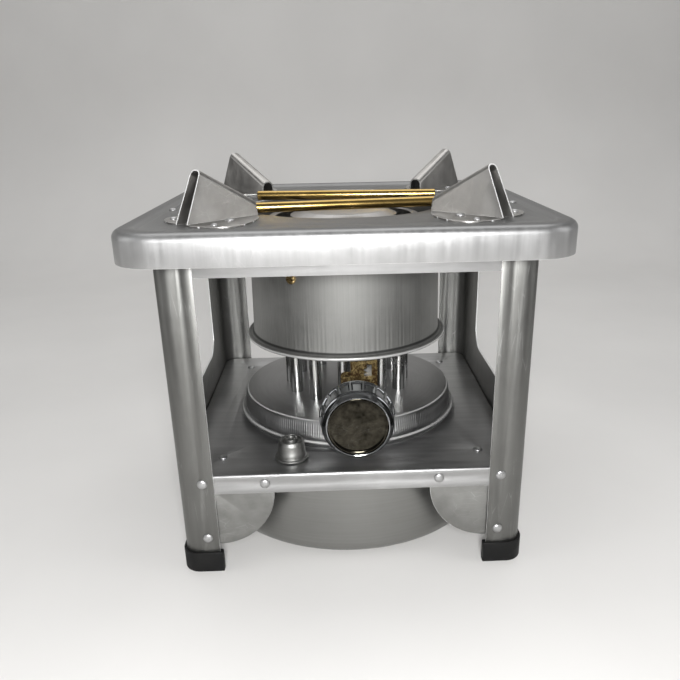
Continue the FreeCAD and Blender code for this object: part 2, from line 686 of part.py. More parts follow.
# ---------------------------------------------------------------- drum and sleeves
def drum_radius(z):
    """Outer radius of the slightly flared casing."""
    share = (DRUM_TOP - z) / (DRUM_TOP - DRUM_FLARE_Z)
    return DRUM_TOP_RADIUS + share * DRUM_TAPER


def drum():
    """Casing that widens a little downwards and ends in a rolled rim."""
    rim = DRUM_RIM_RADIUS - DRUM_BEAD
    wall = revolved([(DRUM_TOP_RADIUS - THIN, DRUM_TOP, 0), (DRUM_TOP_RADIUS, DRUM_TOP, 0),
                     (DRUM_LOW_RADIUS, DRUM_FLARE_Z, 0), (rim + THIN, DRUM_RIM_Z, 0),
                     (rim - THIN, DRUM_RIM_Z, 0), (DRUM_LOW_RADIUS - THIN, DRUM_FLARE_Z, 0)])
    bead = Part.makeTorus(rim, DRUM_BEAD, V(0, 0, DRUM_RIM_Z))
    return wall.fuse(bead).cut(screw_holes())


def drum_collar():
    """Angle ring soldered round the top of the drum, under the plate."""
    low = DRUM_TOP - COLLAR_SKIRT
    inner = drum_radius(low) + SNUG
    return revolved([(inner, DRUM_TOP, 0), (COLLAR_RADIUS, DRUM_TOP, 0),
                     (COLLAR_RADIUS, DRUM_TOP - THIN, 0), (inner + THIN, DRUM_TOP - THIN, 0),
                     (inner + THIN, low, 0), (inner, low, 0)])


def screw_holes():
    hole = Part.makeCylinder(SCREW_SHANK + RUNNING, DRUM_GAP + OVERCUT, V(GUIDE_RADIUS, 0, SCREW_Z),
                             V(1, 0, 0))
    return around(hole, SCREW_COUNT, SCREW_ANGLE)


def drum_screws():
    """Pan-head screws, heads outside the drum."""
    face = drum_radius(SCREW_Z - SCREW_HEAD) + SNUG
    start = guide_band_radius() - SHEET - SEAT - NUT_HEIGHT - SCREW_END
    crown = SCREW_HEAD * 0.67
    head = facing(revolved([(0, 0, 0), (SCREW_HEAD, 0, 0), (SCREW_HEAD, crown * 0.55, 0),
                            (SCREW_HEAD * 0.7, crown, 0), (0, crown, 0)]), V(1, 0, 0), V(face, 0, SCREW_Z))
    shank = Part.makeCylinder(SCREW_SHANK, face - start, V(start, 0, SCREW_Z), V(1, 0, 0))
    slot = box(face + crown * 0.6, face + OVERCUT, -SCREW_HEAD, SCREW_HEAD,
               SCREW_Z - DRIVER_SLOT / 2, SCREW_Z + DRIVER_SLOT / 2)
    return around(head.fuse(shank).cut(slot), SCREW_COUNT, SCREW_ANGLE)


def guide_band_radius():
    return drum_radius(GUIDE_Z + GUIDE_HEIGHT) - THIN - SEAT


def drum_nuts():
    outside = guide_band_radius() - SHEET
    flats = NUT_FLATS / math.sqrt(3)
    corners = [V(0, flats * math.cos(math.radians(60 * i)), flats * math.sin(math.radians(60 * i)))
               for i in range(6)]
    wire = Part.makePolygon(corners + corners[:1])
    nut = moved(Part.Face(wire).extrude(V(NUT_HEIGHT, 0, 0)), outside - NUT_HEIGHT - SEAT, 0, SCREW_Z)
    bore = Part.makeCylinder(SCREW_SHANK + SNUG, DRUM_GAP, V(outside - DRUM_GAP + SHEET, 0, SCREW_Z),
                             V(1, 0, 0))
    return around(nut.cut(bore), SCREW_COUNT, SCREW_ANGLE)


def sleeve_guide():
    """Angle ring inside the drum that keeps the outer sleeve in the middle."""
    band = guide_band_radius()
    ring = revolved([(band - SHEET, GUIDE_Z + GUIDE_HEIGHT, 0), (band, GUIDE_Z + GUIDE_HEIGHT, 0),
                     (band, GUIDE_Z, 0), (GUIDE_RADIUS, GUIDE_Z, 0),
                     (GUIDE_RADIUS, GUIDE_Z + SHEET, 0), (band - SHEET, GUIDE_Z + SHEET, 0)])
    return ring.cut(screw_holes())


def slot_tools(radius):
    """Upright air slots, in staggered rows."""
    tools = []
    for row in range(SLOT_ROWS):
        z = BASE_TOP + SLOT_START + row * SLOT_PITCH
        slot = box(radius - OVERCUT, radius + OVERCUT, -SLOT_WIDTH / 2, SLOT_WIDTH / 2, z, z + SLOT_HEIGHT)
        tools += around(slot, SLOT_COUNT, (row + 0.5) * 180.0 / SLOT_COUNT)
    return tools


def pin_angle():
    """The cross pin lies square to the rack's sector, between two wick tubes at each end."""
    return WICK_FIRST_ANGLE - RACK_SECTOR / 2.0 + 90.0


def pin_hole():
    reach = OUTER_SLEEVE + OVERCUT
    hole = Part.makeCylinder(PIN_RADIUS + RUNNING, 2 * reach, V(-reach, 0, PIN_Z), V(1, 0, 0))
    return turned(hole, pin_angle())


def outer_sleeve():
    wall = revolved([(OUTER_SLEEVE - THIN, SLEEVE_FOOT, 0), (OUTER_SLEEVE, SLEEVE_FOOT, 0),
                     (OUTER_SLEEVE, SLEEVE_TOP, 0), (OUTER_SLEEVE - SLEEVE_LIP, SLEEVE_TOP, 0),
                     (OUTER_SLEEVE - SLEEVE_LIP, SLEEVE_TOP - THIN, 0),
                     (OUTER_SLEEVE - THIN, SLEEVE_TOP - THIN, 0)])
    return wall.cut(slot_tools(OUTER_SLEEVE) + [pin_hole()])


def inner_sleeve():
    wall = post(INNER_SLEEVE, SLEEVE_FOOT, SLEEVE_TOP)
    wall = wall.cut(post(INNER_SLEEVE - THIN, SLEEVE_FOOT - OVERCUT, SLEEVE_TOP + OVERCUT))
    return wall.cut(slot_tools(INNER_SLEEVE) + [pin_hole()])


def flame_spreader():
    """Domed cap that closes the inner sleeve."""
    edge = INNER_SLEEVE - THIN - SEAT
    low = SLEEVE_TOP - SPREADER_SOCKET
    crown = SLEEVE_TOP + SPREADER_RISE
    shoulder = SPREADER_RADIUS - 2 * SPREADER_RISE
    return revolved([(0, crown, 0), (shoulder, crown, 1.5 * SPREADER_RISE),
                     (SPREADER_RADIUS, SLEEVE_TOP + THIN, 0), (SPREADER_RADIUS, SLEEVE_TOP, 0),
                     (edge, SLEEVE_TOP, 0), (edge, low, 0), (edge - THIN, low, 0),
                     (edge - THIN, SLEEVE_TOP, 0), (shoulder - THIN / 2, crown - THIN, SPREADER_RISE),
                     (0, crown - THIN, 0)])


def sleeve_pin():
    reach = OUTER_SLEEVE + THIN
    pin = Part.makeCylinder(PIN_RADIUS, 2 * reach, V(-reach, 0, PIN_Z), V(1, 0, 0))
    return turned(pin, pin_angle())


def burner_base():
    low = BASE_TOP - OVERCUT
    high = BASE_TOP + OVERCUT
    ring = post(BASE_OUTER, BASE_TOP - SHEET, BASE_TOP).cut(post(BASE_INNER, low, high))
    return ring.cut(tube_places(post(TUBE_RADIUS + SNUG, low, high, WICK_CIRCLE, 0)))


# ---------------------------------------------------------------- wicks
def tube_places(shape):
    return [turned(shape, WICK_FIRST_ANGLE + WICK_STEP * index) for index in range(WICK_COUNT)]


def wick_tubes():
    tube = post(TUBE_RADIUS, TUBE_BOTTOM, TUBE_TOP, WICK_CIRCLE, 0)
    bore = post(TUBE_BORE, TUBE_BOTTOM - OVERCUT, TUBE_TOP + OVERCUT, WICK_CIRCLE, 0)
    return tube_places(tube.cut(bore))


def wicks():
    return tube_places(post(WICK_RADIUS, WICK_BOTTOM, WICK_TOP, WICK_CIRCLE, 0))


def wick_carrier():
    """Ring that grips all the wicks, with an ear for the rack."""
    low = CARRIER_Z - OVERCUT
    high = CARRIER_Z + COLLAR_HEIGHT + OVERCUT
    ring = post(WICK_CIRCLE + CARRIER_HALF_WIDTH, CARRIER_Z, CARRIER_Z + SHEET)
    ear = box(RACK_ROOT - RACK_SPINE, RACK_BACK + RACK_SPINE, RACK_FRONT - RACK_SPINE, -WICK_CIRCLE,
              CARRIER_Z, CARRIER_Z + SHEET)
    collar = post(WICK_RADIUS + COLLAR_WALL, CARRIER_Z, CARRIER_Z + COLLAR_HEIGHT, WICK_CIRCLE, 0)
    grip = post(WICK_RADIUS + SNUG, low, high, WICK_CIRCLE, 0)
    rack_slot = box(RACK_ROOT - SEAT, RACK_BACK + SEAT, RACK_FRONT - SEAT, RACK_REAR + SEAT, low, high)
    hollow = post(WICK_CIRCLE - CARRIER_HALF_WIDTH, low, high)
    return ring.fuse([ear] + tube_places(collar)).cut([hollow, rack_slot] + tube_places(grip))


# ---------------------------------------------------------------- tank
def tank_base():
    """Flat disc that closes the bowl from below."""
    return post(TANK_BASE_RADIUS - SNUG, TANK_BOTTOM, TANK_BOTTOM + THIN)


def tank_bowl():
    """Wall with a wide rounded foot, open above and in the middle of its bottom."""
    inner = TANK_RADIUS - THIN
    rim = TANK_SHOULDER - THIN - SNUG
    return revolved([(TANK_BASE_RADIUS, TANK_BOTTOM, 0), (TANK_RADIUS, TANK_BOTTOM, TANK_CORNER),
                     (TANK_RADIUS, rim, 0), (inner, rim, 0),
                     (inner, TANK_BOTTOM + THIN, TANK_CORNER - THIN),
                     (TANK_BASE_RADIUS, TANK_BOTTOM + THIN, 0)])


def tank_top():
    """Flat ring whose edge is folded down over the bowl."""
    outer = TANK_RADIUS + SNUG + THIN
    fold = TANK_SHOULDER - SEAM_FOLD
    cap = revolved([(NECK_RADIUS, TANK_SHOULDER, 0), (outer, TANK_SHOULDER, THIN), (outer, fold, 0),
                    (outer - THIN, fold, 0), (outer - THIN, TANK_SHOULDER - THIN, 0),
                    (NECK_RADIUS, TANK_SHOULDER - THIN, 0)])
    return cap.cut(post(FILLER_RADIUS + SNUG, TANK_SHOULDER - OVERCUT, NECK_TOP, FILLER_X, FILLER_Y))


def tank_neck():
    """Short tube that stands in the ring, inside the cover."""
    low = TANK_SHOULDER - 2 * THIN
    tube = post(NECK_RADIUS - SNUG, low, NECK_TOP)
    return tube.cut(post(NECK_RADIUS - THIN, low - OVERCUT, NECK_TOP + OVERCUT))


def filler_neck():
    """Short tube with a foot ring soldered on the tank's shoulder."""
    low = TANK_SHOULDER - 2 * THIN
    foot_ring = post(FILLER_RADIUS + FILLER_WALL, TANK_SHOULDER, TANK_SHOULDER + THIN, FILLER_X, FILLER_Y)
    tube = post(FILLER_RADIUS, low, FILLER_TOP, FILLER_X, FILLER_Y)
    bore = post(FILLER_RADIUS - FILLER_WALL, low - OVERCUT, FILLER_TOP + OVERCUT, FILLER_X, FILLER_Y)
    return foot_ring.fuse(tube).cut(bore)


def filler_cap():
    """Domed cap with a flange, a recess on top and a bore that runs over the neck."""
    low = SHELF_TOP + REST_GAP
    flange = low + CAP_FLANGE
    skin = [(0, low, 0), (CAP_FLANGE_RADIUS, low, 0.5), (CAP_FLANGE_RADIUS, flange, 0.8),
            (CAP_BASE_RADIUS, flange + CAP_FLANGE / 2, 0), (CAP_CROWN_RADIUS + 0.9, CAP_TOP - 3.5, 0),
            (CAP_CROWN_RADIUS, CAP_TOP, 1.8), (CAP_RECESS, CAP_TOP, 0),
            (CAP_RECESS, CAP_TOP - CAP_RECESS_DEPTH, 0), (0, CAP_TOP - CAP_RECESS_DEPTH, 0)]
    bore = post(FILLER_RADIUS + SLIDING, low - OVERCUT, FILLER_TOP + REST_GAP + GASKET)
    return moved(revolved(skin).cut(bore), FILLER_X, FILLER_Y)


def filler_gasket():
    low = FILLER_TOP + REST_GAP
    ring = post(FILLER_RADIUS + SLIDING / 2, low, low + GASKET, FILLER_X, FILLER_Y)
    return ring.cut(post(FILLER_RADIUS - 2 * FILLER_WALL, low - OVERCUT, CAP_TOP, FILLER_X, FILLER_Y))


def tank_cover():
    """Round cap over the neck: flat top, plain wall, bead and foot on the shelf."""
    bend = COVER_BEAD_Z + COVER_BEAD
    low = COVER_TOP - OVERCUT
    high = COVER_TOP + OVERCUT
    inner = COVER_LOW_RADIUS - THIN
    wall = revolved([(0, COVER_TOP, 0), (COVER_RADIUS, COVER_TOP, COVER_EDGE), (COVER_LOW_RADIUS, bend, 0),
                     (COVER_LOW_RADIUS, SHELF_TOP, 0), (inner, SHELF_TOP, 0), (inner, bend, 0),
                     (COVER_RADIUS - THIN, COVER_TOP - THIN, COVER_EDGE - THIN), (0, COVER_TOP - THIN, 0)])
    bead = Part.makeTorus(COVER_BEAD_RADIUS - COVER_BEAD, COVER_BEAD, V(0, 0, COVER_BEAD_Z))
    inside = post(inner, SHELF_TOP, bend)
    rack_slot = box(RACK_TIP - SLIDING, RACK_BACK + SLIDING, RACK_FRONT - SLIDING, RACK_REAR + SLIDING,
                    low, high)
    tubes = tube_places(post(TUBE_RADIUS + SNUG, low, high, WICK_CIRCLE, 0))
    holes = [post(RIVET_SHANK + RUNNING, low, high, x, y) for x, y in tower_rivets()]
    return wall.fuse(bead.cut(inside)).cut([rack_slot] + tubes + holes)


# ---------------------------------------------------------------- wick lift
def involute(base, angle):
    """Point of an involute that starts on the X axis."""
    return (base * (math.cos(angle) + angle * math.sin(angle)),
            base * (math.sin(angle) - angle * math.cos(angle)))


def pinion():
    base = PITCH_RADIUS * math.cos(math.radians(PRESSURE))
    tip = PITCH_RADIUS + ADDENDUM
    root = PITCH_RADIUS - DEDENDUM
    width = math.pi * MODULE / 2.0 - BACKLASH / 2.0
    at_pitch = math.sqrt((PITCH_RADIUS / base) ** 2 - 1)
    lead = at_pitch - math.atan(at_pitch) + width / (2 * PITCH_RADIUS)
    last = math.sqrt((tip / base) ** 2 - 1)
    flank = []
    for step in range(4):
        x, y = involute(base, last * step / 3.0)
        radius = math.hypot(x, y)
        flank.append((radius, lead - math.atan2(y, x)))
    points = []
    for tooth in range(PINION_TEETH):
        middle = 2 * math.pi * tooth / PINION_TEETH
        half = [(root, lead)] + flank
        for radius, offset in half:
            points.append((radius, middle - offset))
        for radius, offset in reversed(half):
            points.append((radius, middle + offset))
    corners = [V(KNOB_X + radius * math.cos(angle), 0, KNOB_Z + radius * math.sin(angle))
               for radius, angle in points]
    outline = Part.Face(Part.makePolygon(corners + corners[:1]))
    y0 = RACK_FRONT - PINION_PROUD
    y1 = RACK_REAR + PINION_PROUD
    gear = moved(outline.extrude(V(0, y1 - y0, 0)), y=y0)
    return gear.cut(spindle(SHAFT_RADIUS + SNUG, y0 - OVERCUT, y1 + OVERCUT, KNOB_X, KNOB_Z))


def rack_teeth():
    """Heights of each tooth's corners: lower root, lower tip, upper tip and upper root."""
    pitch = math.pi * MODULE
    slant = math.tan(math.radians(PRESSURE))
    half = pitch / 4.0 - BACKLASH / 4.0
    first = math.ceil(-TEETH_BELOW / pitch - 0.5)
    middle = KNOB_Z + (first + 0.5) * pitch
    teeth = []
    while middle + pitch < RACK_TOP:
        teeth.append((middle - half - DEDENDUM * slant, middle - half + ADDENDUM * slant,
                      middle + half - ADDENDUM * slant, middle + half + DEDENDUM * slant))
        middle += pitch
    return teeth


def lift_rack():
    low = CARRIER_Z - RACK_TAIL
    points = [V(RACK_BACK, RACK_FRONT, low), V(RACK_ROOT, RACK_FRONT, low)]
    for a, b, c, d in rack_teeth():
        points += [V(RACK_ROOT, RACK_FRONT, a), V(RACK_TIP, RACK_FRONT, b), V(RACK_TIP, RACK_FRONT, c),
                   V(RACK_ROOT, RACK_FRONT, d)]
    points += [V(RACK_ROOT, RACK_FRONT, RACK_TOP), V(RACK_BACK, RACK_FRONT, RACK_TOP)]
    face = Part.Face(Part.makePolygon(points + points[:1]))
    return face.extrude(V(0, RACK_THICKNESS, 0))


def tower_rivets():
    """(x, y) of the two rivets through the bracket's foot tab."""
    y = TOWER_FRONT - TOWER_TAB / 2
    return [(KNOB_X - TOWER_LEFT + TOWER_RIVET_INSET, y), (KNOB_X + TOWER_RIGHT - TOWER_RIVET_INSET, y)]


def rack_tower():
    """Folded bracket on the cover: front and rear cheeks, back, and a foot tab."""
    left = KNOB_X - TOWER_LEFT
    right = KNOB_X + TOWER_RIGHT
    narrow = KNOB_X - TOWER_NARROW
    step = KNOB_Z + TOWER_STEP
    outline = [(left, COVER_TOP, 0), (right, COVER_TOP, 0), (right, TOWER_TOP, 1.5),
               (narrow, TOWER_TOP, 1.5), (narrow, step, 1.5), (left, step, 3)]
    cheeks = [Part.Face(rounded_wire(outline, lambda p, y=y: V(p.x, y, p.y))).extrude(V(0, SHEET, 0))
              for y in (TOWER_FRONT, TOWER_REAR - SHEET)]
    back = box(RACK_BACK + SLIDING, RACK_BACK + SLIDING + SHEET, TOWER_FRONT, TOWER_REAR,
               COVER_TOP, TOWER_TOP)
    foot_tab = box(left, right, TOWER_FRONT - TOWER_TAB, TOWER_FRONT + SHEET,
                   COVER_TOP, COVER_TOP + SHEET)
    window = box(RACK_TIP, RACK_BACK, TOWER_FRONT - OVERCUT, TOWER_FRONT + 2 * SHEET, step,
                 TOWER_TOP - RACK_SPINE)
    shaft = spindle(BUSH_RADIUS + SNUG, TOWER_FRONT - OVERCUT, TOWER_FRONT + 2 * SHEET, KNOB_X, KNOB_Z)
    tail = spindle(SHAFT_RADIUS + RUNNING, TOWER_REAR - 2 * SHEET, TOWER_REAR + OVERCUT, KNOB_X, KNOB_Z)
    holes = [post(RIVET_SHANK + RUNNING, COVER_TOP - OVERCUT, COVER_TOP + OVERCUT, x, y)
             for x, y in tower_rivets()]
    return cheeks[0].fuse([cheeks[1], back, foot_tab]).cut([window, shaft, tail] + holes)


def tower_rivet_set():
    return [moved(rivet(TOWER_RIVET_HEAD, SHEET + THIN), x, y, COVER_TOP + SHEET)
            for x, y in tower_rivets()]


def shaft_bush():
    collar = TOWER_FRONT - BUSH_COLLAR
    sleeve = spindle(BUSH_RADIUS, collar, TOWER_FRONT + SHEET, KNOB_X, KNOB_Z)
    flange = spindle(BUSH_FLANGE, collar, TOWER_FRONT, KNOB_X, KNOB_Z)
    bore = spindle(SHAFT_RADIUS + RUNNING, collar - OVERCUT, TOWER_FRONT + OVERCUT, KNOB_X, KNOB_Z)
    return sleeve.fuse(flange).cut(bore)


def shaft_clip():
    """Retaining ring in front of the bush."""
    rear = TOWER_FRONT - BUSH_COLLAR - SLIDING
    front = rear - CLIP_THICKNESS
    ring = spindle(CLIP_RADIUS, front, rear, KNOB_X, KNOB_Z)
    bore = spindle(SHAFT_RADIUS + SNUG, front - OVERCUT, rear + OVERCUT, KNOB_X, KNOB_Z)
    mouth = box(KNOB_X - CLIP_MOUTH / 2, KNOB_X + CLIP_MOUTH / 2, front - OVERCUT, rear + OVERCUT,
                KNOB_Z - 2 * CLIP_RADIUS, KNOB_Z)
    return ring.cut([bore, mouth])


def rack_seal():
    """Felt pad round the rack, on the cover inside the bracket."""
    pad = box(RACK_TIP - SEAL_LIP, RACK_BACK + SLIDING, TOWER_FRONT + SHEET + SEAT,
              TOWER_REAR - SHEET - SEAT, COVER_TOP, COVER_TOP + SEAL_HEIGHT)
    slot = box(RACK_TIP - REST_GAP, RACK_BACK + REST_GAP, RACK_FRONT - REST_GAP, RACK_REAR + REST_GAP,
               COVER_TOP - OVERCUT, COVER_TOP + OVERCUT)
    return pad.cut(slot)


def knob_shaft():
    front = KNOB_FRONT + KNOB_FACE_DEPTH + 1.5 * KNOB_WALL
    return spindle(SHAFT_RADIUS, front, TOWER_REAR + SHAFT_TAIL, KNOB_X, KNOB_Z)


def along_y(shape):
    """Turns a revolved knob piece, made along +Z, so that +Z becomes the front of the knob."""
    copy = shape.copy()
    copy.rotate(CENTRE, V(1, 0, 0), 90)
    return moved(copy, KNOB_X, 0, KNOB_Z)


def knob():
    """Fluted cup with a bezel, a hub and a bore for the shaft."""
    front = -KNOB_FRONT
    rear = -KNOB_REAR
    shoulder = front - KNOB_SHOULDER
    floor = front - KNOB_FACE_DEPTH
    body = revolved([(0, rear, 0), (KNOB_REAR_RADIUS, rear, 0.8), (KNOB_REAR_RADIUS - 1.6, shoulder, 0.8),
                     (KNOB_FRONT_RADIUS + 0.3, shoulder + 0.6, 0), (KNOB_FRONT_RADIUS, front, 1.2),
                     (KNOB_FACE_RADIUS + RUNNING, front, 0), (KNOB_FACE_RADIUS + RUNNING, floor, 0),
                     (0, floor, 0)])
    cavity = revolved([(KNOB_HUB, rear - OVERCUT, 0), (KNOB_REAR_RADIUS - 2 * KNOB_WALL, rear - OVERCUT, 0),
                       (KNOB_REAR_RADIUS - 2.4 * KNOB_WALL, floor - KNOB_WALL, 0),
                       (KNOB_HUB, floor - KNOB_WALL, 0)])
    depth = KNOB_REAR_RADIUS - KNOB_FLUTE_DEPTH
    flute = box(depth - KNOB_FLUTE_DEPTH / 2, depth + OVERCUT, -KNOB_FLUTE_WIDTH / 2, KNOB_FLUTE_WIDTH / 2,
                rear + KNOB_WALL, shoulder - KNOB_WALL / 2)
    bore = post(SHAFT_RADIUS + SNUG, rear - OVERCUT, floor - 1.4 * KNOB_WALL)
    return along_y(body.cut([cavity, bore] + around(flute, KNOB_FLUTES)))


def knob_face():
    """Slightly dished disc set in the bezel."""
    front = -KNOB_FRONT
    floor = front - KNOB_FACE_DEPTH
    rim = front - 0.25 * KNOB_FACE_DEPTH
    return along_y(revolved([(0, floor, 0), (KNOB_FACE_RADIUS, floor, 0), (KNOB_FACE_RADIUS, rim, 0.3),
                             (KNOB_FACE_RADIUS - 1.6, rim, 0), (KNOB_FACE_RADIUS - 2.4, front - 1.1, 0),
                             (0, front - 1.4, 0)]))


# ---------------------------------------------------------------- loose bars
def rod(y, yaw):
    bar = Part.makeCylinder(ROD_RADIUS, ROD_LENGTH, V(-ROD_LENGTH / 2, 0, 0), V(1, 0, 0))
    bar = bar.makeChamfer(ROD_CHAMFER, bar.Edges[:1] + bar.Edges[-1:])
    return moved(turned(bar, yaw), ROD_X, y, WELL_Z + REST_GAP + ROD_RADIUS)


# ---------------------------------------------------------------- all the pieces
def pieces():
    nodes = {"top_plate": top_plate(), "side_panel_left": side_panel(), "front_rail": front_rail(),
             "shelf": shelf()}
    nodes["side_panel_right"] = mirrored(nodes["side_panel_left"], True, False)
    nodes["rear_rail"] = mirrored(nodes["front_rail"], False, True)
    corner_gusset = gusset()
    corner_foot = foot()
    corner_support = pot_support()
    for name, angle in CORNERS.items():
        in_x = name.endswith("right")
        in_y = name.startswith("rear")
        nodes["gusset_" + name] = mirrored(corner_gusset, in_x, in_y)
        nodes["foot_" + name] = mirrored(corner_foot, in_x, in_y)
        nodes["pot_support_" + name] = turned(corner_support, angle)
    nodes["frame_rivets"] = frame_rivets()
    nodes["plate_rivets"] = plate_rivets()
    nodes["pot_support_rivets"] = support_rivets()
    nodes["well_ring"] = well_ring()
    nodes["drum"] = drum()
    nodes["drum_collar"] = drum_collar()
    nodes["drum_screws"] = drum_screws()
    nodes["drum_nuts"] = drum_nuts()
    nodes["sleeve_guide"] = sleeve_guide()
    nodes["outer_sleeve"] = outer_sleeve()
    nodes["inner_sleeve"] = inner_sleeve()
    nodes["flame_spreader"] = flame_spreader()
    nodes["sleeve_pin"] = sleeve_pin()
    nodes["burner_base"] = burner_base()
    nodes["wick_tubes"] = wick_tubes()
    nodes["wicks"] = wicks()
    nodes["wick_carrier"] = wick_carrier()
    nodes["tank_bowl"] = tank_bowl()
    nodes["tank_base"] = tank_base()
    nodes["tank_top"] = tank_top()
    nodes["tank_neck"] = tank_neck()
    nodes["tank_cover"] = tank_cover()
    nodes["filler_neck"] = filler_neck()
    nodes["filler_gasket"] = filler_gasket()
    nodes["filler_cap"] = filler_cap()
    nodes["lift_rack"] = lift_rack()
    nodes["pinion"] = pinion()
    nodes["rack_tower"] = rack_tower()
    nodes["tower_rivets"] = tower_rivet_set()
    nodes["rack_seal"] = rack_seal()
    nodes["shaft_bush"] = shaft_bush()
    nodes["shaft_clip"] = shaft_clip()
    nodes["knob_shaft"] = knob_shaft()
    nodes["knob"] = knob()
    nodes["knob_face"] = knob_face()
    nodes["brass_rod_front"] = rod(FRONT_ROD_Y, FRONT_ROD_YAW)
    nodes["brass_rod_rear"] = rod(REAR_ROD_Y, REAR_ROD_YAW)
    return nodes


def main():
    os.makedirs("parts", exist_ok=True)
    for name, piece in pieces().items():
        shape = Part.makeCompound(piece) if isinstance(piece, list) else piece
        print(f"{name:28s} {len(shape.Solids):3d} solids, valid {shape.isValid()}, {shape.Volume:10.1f} mm3")
        shape.exportStep("parts/" + name + ".step")


main()
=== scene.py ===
"""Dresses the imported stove: pressed and spun sheet, rivets, pot supports, knob, wicks and studio."""

import json
import math

import bmesh
import bpy
from bpy.props import FloatProperty, FloatVectorProperty, IntProperty, PointerProperty
from mathutils import Matrix, Vector


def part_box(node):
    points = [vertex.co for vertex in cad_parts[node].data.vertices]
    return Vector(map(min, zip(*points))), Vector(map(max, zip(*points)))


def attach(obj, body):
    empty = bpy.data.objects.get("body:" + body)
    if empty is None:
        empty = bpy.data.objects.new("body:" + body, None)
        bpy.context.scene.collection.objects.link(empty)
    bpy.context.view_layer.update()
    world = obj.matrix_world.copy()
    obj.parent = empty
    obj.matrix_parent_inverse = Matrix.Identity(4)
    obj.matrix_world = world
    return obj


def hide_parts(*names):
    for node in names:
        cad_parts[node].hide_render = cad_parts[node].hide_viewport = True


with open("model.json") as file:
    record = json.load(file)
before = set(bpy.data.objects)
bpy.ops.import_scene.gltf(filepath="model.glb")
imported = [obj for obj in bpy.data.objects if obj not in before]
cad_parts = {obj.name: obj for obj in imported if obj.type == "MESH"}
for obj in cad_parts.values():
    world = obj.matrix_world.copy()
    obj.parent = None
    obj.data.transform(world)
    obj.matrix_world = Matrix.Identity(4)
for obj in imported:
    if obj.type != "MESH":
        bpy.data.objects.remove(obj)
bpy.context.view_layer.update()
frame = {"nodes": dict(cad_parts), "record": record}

bl_info = {
    "name": "Square Wick Stove",
    "version": (1, 0, 0),
    "blender": (4, 5, 0),
    "location": "3D View > Sidebar > Stove",
    "description": "Finishes a square kerosene wick stove and sets a studio round it",
    "category": "Object",
}

MM = 0.001
FULL_TURN = 2 * math.pi
QUARTER_TURN = math.pi / 2
THICKEST_SHEET = 1.3 * MM
SHARP_EDGE = math.radians(50.0)
MERGE = 0.002 * MM              # points of a CAD node closer than this become one
TOUCHING = 0.0001 * MM          # points of a new shape closer than this become one

HEAT_TINT = (0.20, 0.16, 0.11)
RUST = (0.045, 0.026, 0.012)
TARNISH = (0.24, 0.13, 0.05)
DUST = (0.11, 0.105, 0.095)
SCRATCH = (0.85, 0.85, 0.85)

CORNERS = ("front_left", "front_right", "rear_right", "rear_left")
GROUPS = {}                     # the shared node groups by name


# ---------------------------------------------------------------- settings
def colour_setting(name, description, value):
    return FloatVectorProperty(name=name, description=description, subtype="COLOR", size=3,
                               min=0, max=1, default=value)


def length_setting(name, description, value, lowest, highest):
    return FloatProperty(name=name, description=description, unit="LENGTH", precision=5,
                         min=lowest, max=highest, default=value)


def power_setting(name, description, value):
    return FloatProperty(name=name, description=description, unit="POWER", min=0, max=200,
                         default=value)


class StoveColours(bpy.types.PropertyGroup):
    """Colours of the stove's materials."""
    aluminium: colour_setting("Aluminium", "Top plate, rails, shelf, cover and rivets",
                              (0.44, 0.44, 0.44))
    dull_aluminium: colour_setting("Dull aluminium", "Gussets, tank, drum, filler cap, sooty edges",
                                   (0.27, 0.27, 0.26))
    # Darker copy of the aluminium for the legs: painted shade for the dark room their sides reflect.
    leg_aluminium_shaded: colour_setting("Leg aluminium", "Side panels with the legs",
                                  (0.18, 0.18, 0.172))
    galvanised: colour_setting("Galvanised steel", "Pot supports, base, guide and carrier",
                               (0.36, 0.35, 0.335))
    sleeve_steel: colour_setting("Sleeve steel", "Burner sleeves and spreader",
                                 (0.38, 0.37, 0.36))
    # Bright steel of the tubes and shaft, also used for the painted highlight on the cover's and the
    # drum's crests.
    bright_steel: colour_setting("Bright steel", "Tubes, shaft, rack, pinion and highlighted beads",
                                 (0.52, 0.52, 0.51))
    # Bright colour of the edges: the bare metal's brightness with a painted highlight on top.
    cut_edge_highlight: colour_setting("Cut edges", "Sheared and folded edges of the sheets",
                             (0.86, 0.86, 0.85))
    chrome: colour_setting("Chrome", "Cup and bezel of the knob", (0.34, 0.35, 0.36))
    # The knob face's near-black colour is painted shade: it stands in for the dark surroundings a chrome
    # face reflects.
    face_painted_dark: colour_setting("Dark chrome", "Face of the knob", (0.023, 0.021, 0.016))
    brass: colour_setting("Brass", "The two loose bars", (0.41, 0.28, 0.095))
    zinc: colour_setting("Yellow zinc", "Screws and nuts of the drum", (0.68, 0.50, 0.24))
    bracket: colour_setting("Aged zinc", "Bracket of the rack", (0.26, 0.20, 0.09))
    rubber: colour_setting("Rubber", "Shoes and gasket", (0.006, 0.006, 0.006))
    cotton: colour_setting("Cotton", "Wicks", (0.72, 0.67, 0.55))
    felt: colour_setting("Felt", "Pad round the rack", (0.20, 0.17, 0.13))


class StoveSizes(bpy.types.PropertyGroup):
    """Sizes of the detail that is added to the solids."""
    rib_count: IntProperty(name="Cover ribs", description="Upright ribs round the cover's wall",
                           min=24, max=400, default=288)
    rib_height: length_setting("Rib height", "How far the cover's ribs stand out",
                               0.42 * MM, 0.0, 1.0 * MM)
    draw_depth: length_setting("Draw marks", "Depth of the upright marks on the drum",
                               0.16 * MM, 0.0, 1.0 * MM)
    flute_count: IntProperty(name="Knob flutes", description="Sunk panels round the knob",
                             min=6, max=36, default=18)
    flute_depth: length_setting("Flute depth", "Depth of the knob's sunk panels",
                                1.15 * MM, 0.0, 3.0 * MM)
    edge_break: length_setting("Edge break", "Rounding of the cut edges of the sheet",
                               0.3 * MM, 0.0, 0.5 * MM)
    braid_pitch: length_setting("Braid pitch", "Height of one turn of the braid on a wick",
                                7.0 * MM, 2.0 * MM, 20.0 * MM)


